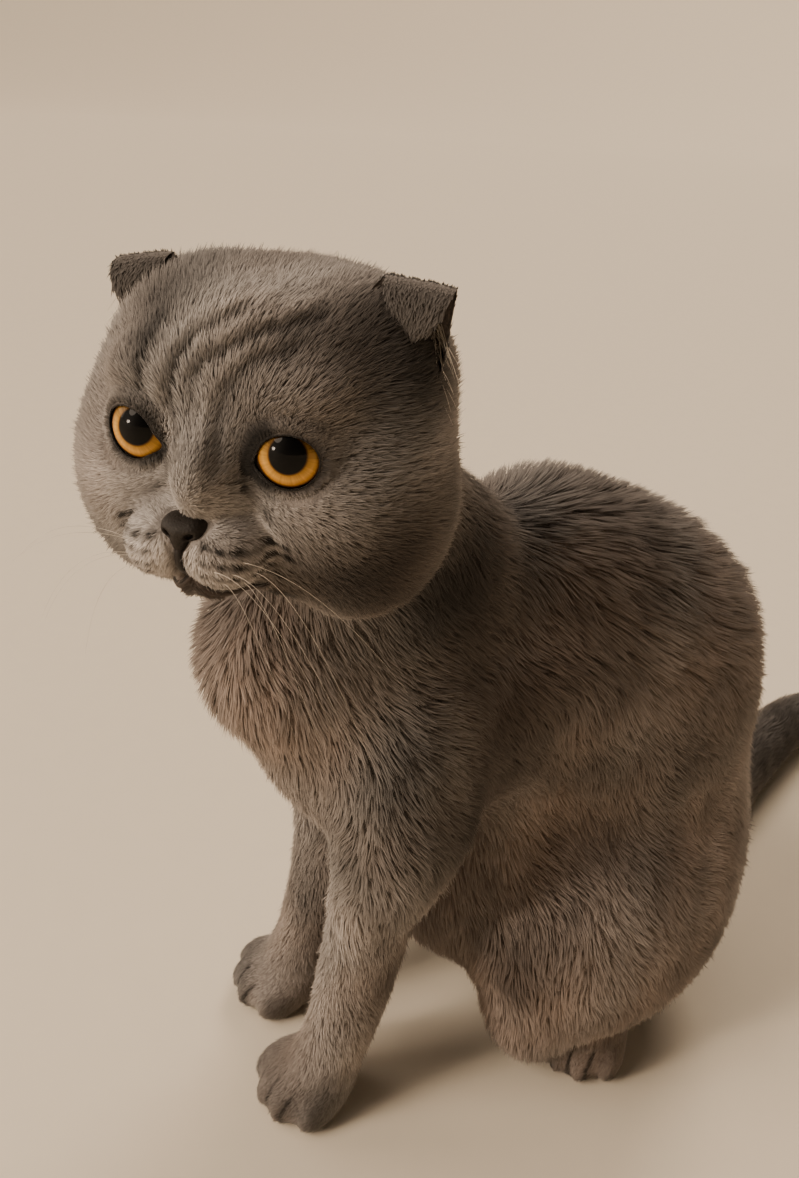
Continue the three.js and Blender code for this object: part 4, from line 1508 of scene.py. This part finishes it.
skinTriangles = triangled(skinFaces)
centres = skinVertices[skinTriangles].mean(axis=1)
centreDistances = partDistances(centres)
ofHead = centreDistances["head"] < np.min([v for k, v in centreDistances.items() if k != "head"], axis=0)
toNose = np.linalg.norm(toHead(centres) - (58, 0, -14), axis=1)
headWeight = ofHead * (1.0 + 1.2 * hill(toNose, 45))
toFoot = np.min([np.linalg.norm(centres - onPaw(paw, 0, 0, 8), axis=1) for paw in paws.values()], axis=0)
feetNear = 1 - ease(toFoot, 30, 50)
lowInFront = (1 - ease(centres[:, 2], 60, 150)) * (centres[:, 1] < 60)
bodyWeight = ~ofHead * (1.0 + 1.6 * feetNear + 0.6 * lowInFront)
chosenHead, cornersHead = scatter(skinVertices, skinTriangles, headWeight, tuftPlan["headCount"])
chosenBody, cornersBody = scatter(skinVertices, skinTriangles, bodyWeight, tuftPlan["bodyCount"])
chosen = np.concatenate([chosenHead, chosenBody])
corners = np.concatenate([cornersHead, cornersBody])
roots = mixed(skinVertices, skinTriangles, chosen, corners)
normals = unit(mixed(skinNormals, skinTriangles, chosen, corners))
onLid = np.zeros(len(roots), bool)
for vertices, faces in lidMeshes.values():
    triangles = triangled(faces)
    facing = faceNormals(vertices, triangles) @ (headTurn @ np.array([1.0, 0, 0])) > 0.1
    chosen, corners = scatter(vertices, triangles, facing * 1.0, tuftPlan["lidCount"])
    roots = np.concatenate([roots, mixed(vertices, triangles, chosen, corners)])
    onSkin = unit(gradientOf(plainSkin, roots[len(normals) :]))
    normals = np.concatenate([normals, onSkin])
    onLid = np.concatenate([onLid, np.ones(len(chosen), bool)])
kept = ~isBare(roots, normals, onLid)
roots, normals = roots[kept], normals[kept]
distances = partDistances(roots)
length, width, lift, clump = coatSizes(roots, distances)
lie = coatLie(roots, normals, distances)
spread = rng.normal(0, 0.16, len(roots))
lie = unit(lie + np.cross(normals, lie) * spread[:, None])
length = length * rng.uniform(0.7, 1.25, len(roots))
lift = lift * rng.uniform(0.55, 1.35, len(roots))
stray = rng.random(len(roots)) < 0.09
lift = lift + 0.3 * stray
width = width * np.where(stray, 0.7, 1.0)
roots = roots - normals * 0.12
hang = hangShare(roots, distances)
length = length + tuftSizes["hanging"] * hang
direction = lie * np.cos(lift)[:, None] + normals * np.sin(lift)[:, None]
direction = unit(direction + 0.75 * hang[:, None] * np.array([0, -0.15, -1.0]))
tips = roots + length[:, None] * direction
tips = clumped(roots, tips, np.minimum(clump * 1.5, 0.8), 3.6)
tips = clumped(roots, tips, clump, 8.0)
tips = clumped(roots, tips, 1.1 * np.maximum(clump - 0.3, 0), 16.0)
print("tufts placed:", len(roots))
nearest = np.array(list(distances))[np.argmin(np.array(list(distances.values())), axis=0)]
region = np.full(len(roots), "body")
region[nearest == "head"] = "head"
region[nearest == "tail"] = "tail"
region[np.isin(nearest, ["foreLegLeft", "foreLegRight", "foreLeft", "foreRight"])] = "legs"
look = {
    "tone": coatTone(roots, distances),
    "warmth": coatWarmth(roots),
    "strand": np.clip(rng.normal(0.5, 0.2, len(roots)), 0, 1),
}
tuftMeshes("coat", roots, tips, normals, width * rng.uniform(0.75, 1.3, len(roots)), look, region)
print("tufts of the body made")

# Tufts of the ears, on both faces of the sheet
for name, ear in earMeshes.items():
    triangles = triangled(ear["faces"])
    onTop = ear["top"][triangles].mean(axis=1)
    chosen, corners = scatter(ear["vertices"], triangles, 0.35 + 0.65 * onTop, tuftPlan["earCount"] // 2)
    roots = mixed(ear["vertices"], triangles, chosen, corners)
    normals = faceNormals(ear["vertices"], triangles)[chosen]
    underFold = (onTop[chosen] < 0.5) & (mixed(ear["share"], triangles, chosen, corners) > 0.3)
    outside = (coatField(roots) > -1.0) & ~underFold
    chosen, corners, roots, normals = chosen[outside], corners[outside], roots[outside], normals[outside]
    lie = tangent(mixed(ear["lie"], triangles, chosen, corners), normals)
    lie = unit(lie + np.cross(normals, lie) * rng.normal(0, 0.22, len(roots))[:, None])
    toFold = np.abs(mixed(ear["share"], triangles, chosen, corners) - earShape["share"])
    length = rng.uniform(2.4, 4.2, len(roots)) * (0.35 + 0.65 * ease(toFold, 0.02, 0.2))
    lift = rng.uniform(0.04, 0.26, len(roots))
    tips = roots + length[:, None] * (lie * np.cos(lift)[:, None] + normals * np.sin(lift)[:, None])
    look = {
        "tone": mixed(ear["tone"], triangles, chosen, corners),
        "warmth": np.full(len(roots), 0.08),
        "strand": np.clip(rng.normal(0.5, 0.2, len(roots)), 0, 1),
    }
    region = np.full(len(roots), "ears")
    width = rng.uniform(0.45, 0.75, len(roots))
    tuftMeshes(f"ear_{name}_coat", roots - normals * 0.1, tips, normals, width, look, region)
print("tufts of the ears made")

# Whiskers, hairs in the ears, claws
whiskers = {
    # root (left, up) beside the middle of the muzzle, tip in the head's axes, how far it bows upwards
    "left": [
        ((19.0, -22.5), (38, 60, -66), 10),
        ((12.0, -25.0), (58, 46, -72), 15),
        ((16.5, -25.5), (52, 50, -84), 17),
        ((21.0, -26.5), (42, 50, -92), 17),
        ((14.0, -29.0), (60, 34, -76), 14),
        ((18.5, -29.5), (52, 40, -90), 16),
    ],
    "right": [
        ((14.5, -21.5), (66, 52, -32), 6),
        ((19.0, -22.5), (52, 62, -40), 7),
        ((12.5, -25.5), (66, 44, -50), 8),
        ((17.0, -26.5), (56, 54, -58), 8),
        ((15.0, -30.0), (58, 38, -66), 8),
    ],
    "radius": 0.06,
    "earHairs": 70,  # in each ear
    "earHairRadius": 0.10,
}


# A single hair as a closed tube that thins to a third: p = root + t (tip - root) + 4 t (1 - t) bow u
def hair(root, tip, bow, radius, count=22):
    t = np.linspace(0, 1, count)[:, None]
    path = root + t * (np.array(tip, float) - root) + 4 * t * (1 - t) * np.array([0.25, 0, 1.0]) * bow
    return tube(path, radius * (1 - 0.68 * t[:, 0] ** 1.5), 6)


hairMaterial = unevenMaterial("whiskers", (0.58, 0.53, 0.46), 0.4, 0.4, 120, 0.3, 0.0001)
strands = []
for name, side in sides.items():
    for (left, up), tip, bow in whiskers[name]:
        root = onFace(side * left + muzzleShift[1], up, -2.0)
        strands.append(hair(root, np.array(tip) * (1, side, 1), bow, whiskers["radius"]))
vertices, faces = merged(strands)
meshPiece("whiskers", fromHead(vertices), faces, hairMaterial)

# Pale hairs in the cups of the ears: from the inner rim of each cup outwards and down
strands = []
for name, side in sides.items():
    for _ in range(whiskers["earHairs"]):
        s = rng.uniform(-0.1, 0.85)
        t = rng.uniform(0.0, 0.4)
        root = earSheet(np.array(s), np.array(t), side) + (1.0, 0, 0)
        tip = root + np.array([rng.uniform(3, 7), side * rng.uniform(3, 9), rng.uniform(-13, -4)])
        strands.append(hair(root, tip, rng.uniform(0, 2), whiskers["earHairRadius"], 8))
vertices, faces = merged(strands)
meshPiece("ear_hairs", fromHead(vertices), faces, hairMaterial)

# Claws: short horns between the toes' hair, bent down, ahead of the toes by 3 t and down by 2.6 t^1.7
clawMaterial = unevenMaterial("claws", (0.16, 0.12, 0.09), 0.4, 0.5, 300, 0.25, 0.0001)
claws = []
for paw in paws.values():
    for place in toePlaces:
        t = np.linspace(0, 1, 7)
        front = 15.6 - pawShape["toesBow"] * place * place + 3.0 * t
        across = place * (pawShape["toesApart"] + 1.2 * t)
        path = np.stack([np.array(onPaw(paw, f, a, z)) for f, a, z in zip(front, across, 6.4 - 2.6 * t**1.7)])
        claws.append(tube(path, 0.8 * (1 - 0.85 * t), 8))
vertices, faces = merged(claws)
meshPiece("claws", vertices, faces, clawMaterial)
print("whiskers and claws made")

# Camera, light and floor
cameraShape = {
    "lens": 31.94,
    "sensor": 36,
    "place": (308.0, -136.0, 430.0),
    "azimuth": 60.0,
    "pitch": 28.0,  # downwards
    "roll": 4.4,
}
cameraData = bpy.data.cameras.new("camera")
cameraData.lens = cameraShape["lens"]
cameraData.sensor_width = cameraShape["sensor"]
camera = bpy.data.objects.new("camera", cameraData)
bpy.context.scene.collection.objects.link(camera)
azimuth, pitch, roll = np.radians([cameraShape["azimuth"], cameraShape["pitch"], cameraShape["roll"]])
level = np.array([np.cos(azimuth), np.sin(azimuth), 0])
ahead = np.array([-np.sin(azimuth), np.cos(azimuth), 0])
upright = np.array([0, 0, 1])
sight = np.cos(pitch) * ahead - np.sin(pitch) * upright
top = np.sin(pitch) * ahead + np.cos(pitch) * upright
right = np.cos(roll) * level + np.sin(roll) * top
up = -np.sin(roll) * level + np.cos(roll) * top
matrix = np.eye(4)
matrix[:3, :3] = np.stack([right, up, -sight], axis=1)
matrix[:3, 3] = (np.array(cameraShape["place"]) + footPoint) * mm
camera.matrix_world = Matrix(matrix.tolist())
bpy.context.scene.camera = camera

lights = {
    "colour": (1.0, 0.81, 0.63),
    "far": {  # direction it comes from, strength, how many degrees wide it is
        "front": ((-0.05, -0.97, 0.24), 1.5, 9),
        "side": ((-0.74, -0.62, 0.27), 1.5, 40),
        "above": ((-0.08, -0.72, 0.70), 1.6, 25),
        "overhead": ((-0.15, -0.1, 1.0), 0.7, 40),
        "behind": ((-0.45, 0.55, 0.7), 1.3, 25),
    },
    "lamps": [(0.00, -0.97, 0.24), (0.05, -0.965, 0.25), (0.03, -0.955, 0.30)],  # bright dots in the eyes
    "lampDistance": 1.5,
    "lampSize": 0.05,
    "lampPower": 1.5,
    "room": (1.0, 0.82, 0.64),
    "roomStrength": 0.06,
}


# A light of a kind that shines from a direction, its data given back
def addLight(name, kind, strength, direction, place=(0, 0, 0)):
    data = bpy.data.lights.new(name, kind)
    data.energy = strength
    data.color = lights["colour"]
    light = bpy.data.objects.new(name, data)
    bpy.context.scene.collection.objects.link(light)
    light.location = place
    light.rotation_euler = Vector(direction).to_track_quat("Z", "Y").to_euler()
    return data


for name, (direction, strength, wide) in lights["far"].items():
    addLight(name, "SUN", strength, direction).angle = np.radians(wide)
eyesMiddle = (fromHead(np.array(eyeShape["centre"]) * (1, 0, 1)) + footPoint) * mm
for i, direction in enumerate(lights["lamps"]):
    place = tuple(eyesMiddle + lights["lampDistance"] * np.array(direction))
    addLight(f"lamp{i + 1}", "AREA", lights["lampPower"], direction, place).size = lights["lampSize"]
world = bpy.data.worlds.new("room")
world.use_nodes = True
background = world.node_tree.nodes["Background"]
background.inputs["Color"].default_value = (*lights["room"], 1)
background.inputs["Strength"].default_value = lights["roomStrength"]
bpy.context.scene.world = world

# Floor as a wide disc, in metres, that rises gently far off: its height is rise (3 s^2 - 2 s^3) with
# s = (r - flat) / (edge - flat)
floorShape = {"rings": 60, "around": 96, "inner": 0.5, "edge": 9, "flat": 5, "rise": 1.6}
floorMaterial = unevenMaterial("paleFloor", (0.84, 0.76, 0.63), 0.7, 0.2, 60, 0.01, 0.0001)
count, around = floorShape["rings"], floorShape["around"]
reach = np.linspace(floorShape["inner"], floorShape["edge"], count)[:, None]
turn = np.arange(around) / around * 2 * np.pi
height = floorShape["rise"] * ease(reach, floorShape["flat"], floorShape["edge"])
height = np.broadcast_to(height, (count, around))
disc = np.stack([reach * np.cos(turn), reach * np.sin(turn), height], axis=-1)
disc = np.concatenate([disc.reshape(-1, 3), [[0, 0, 0]]])
k = np.arange(around)
middleFan = np.stack([np.full(around, count * around), k, (k + 1) % around], axis=1)
discFaces = np.concatenate([triangled(gridFaces(count, around, closeColumns=True)), middleFan])
floorMesh = bpy.data.meshes.new("floor")
floorMesh.from_pydata(disc.tolist(), [], discFaces.tolist())
floorMesh.polygons.foreach_set("use_smooth", np.full(len(discFaces), True))
floorMesh.materials.append(floorMaterial)
floor = bpy.data.objects.new("floor", floorMesh)
bpy.context.scene.collection.objects.link(floor)
print("camera, light and floor made")
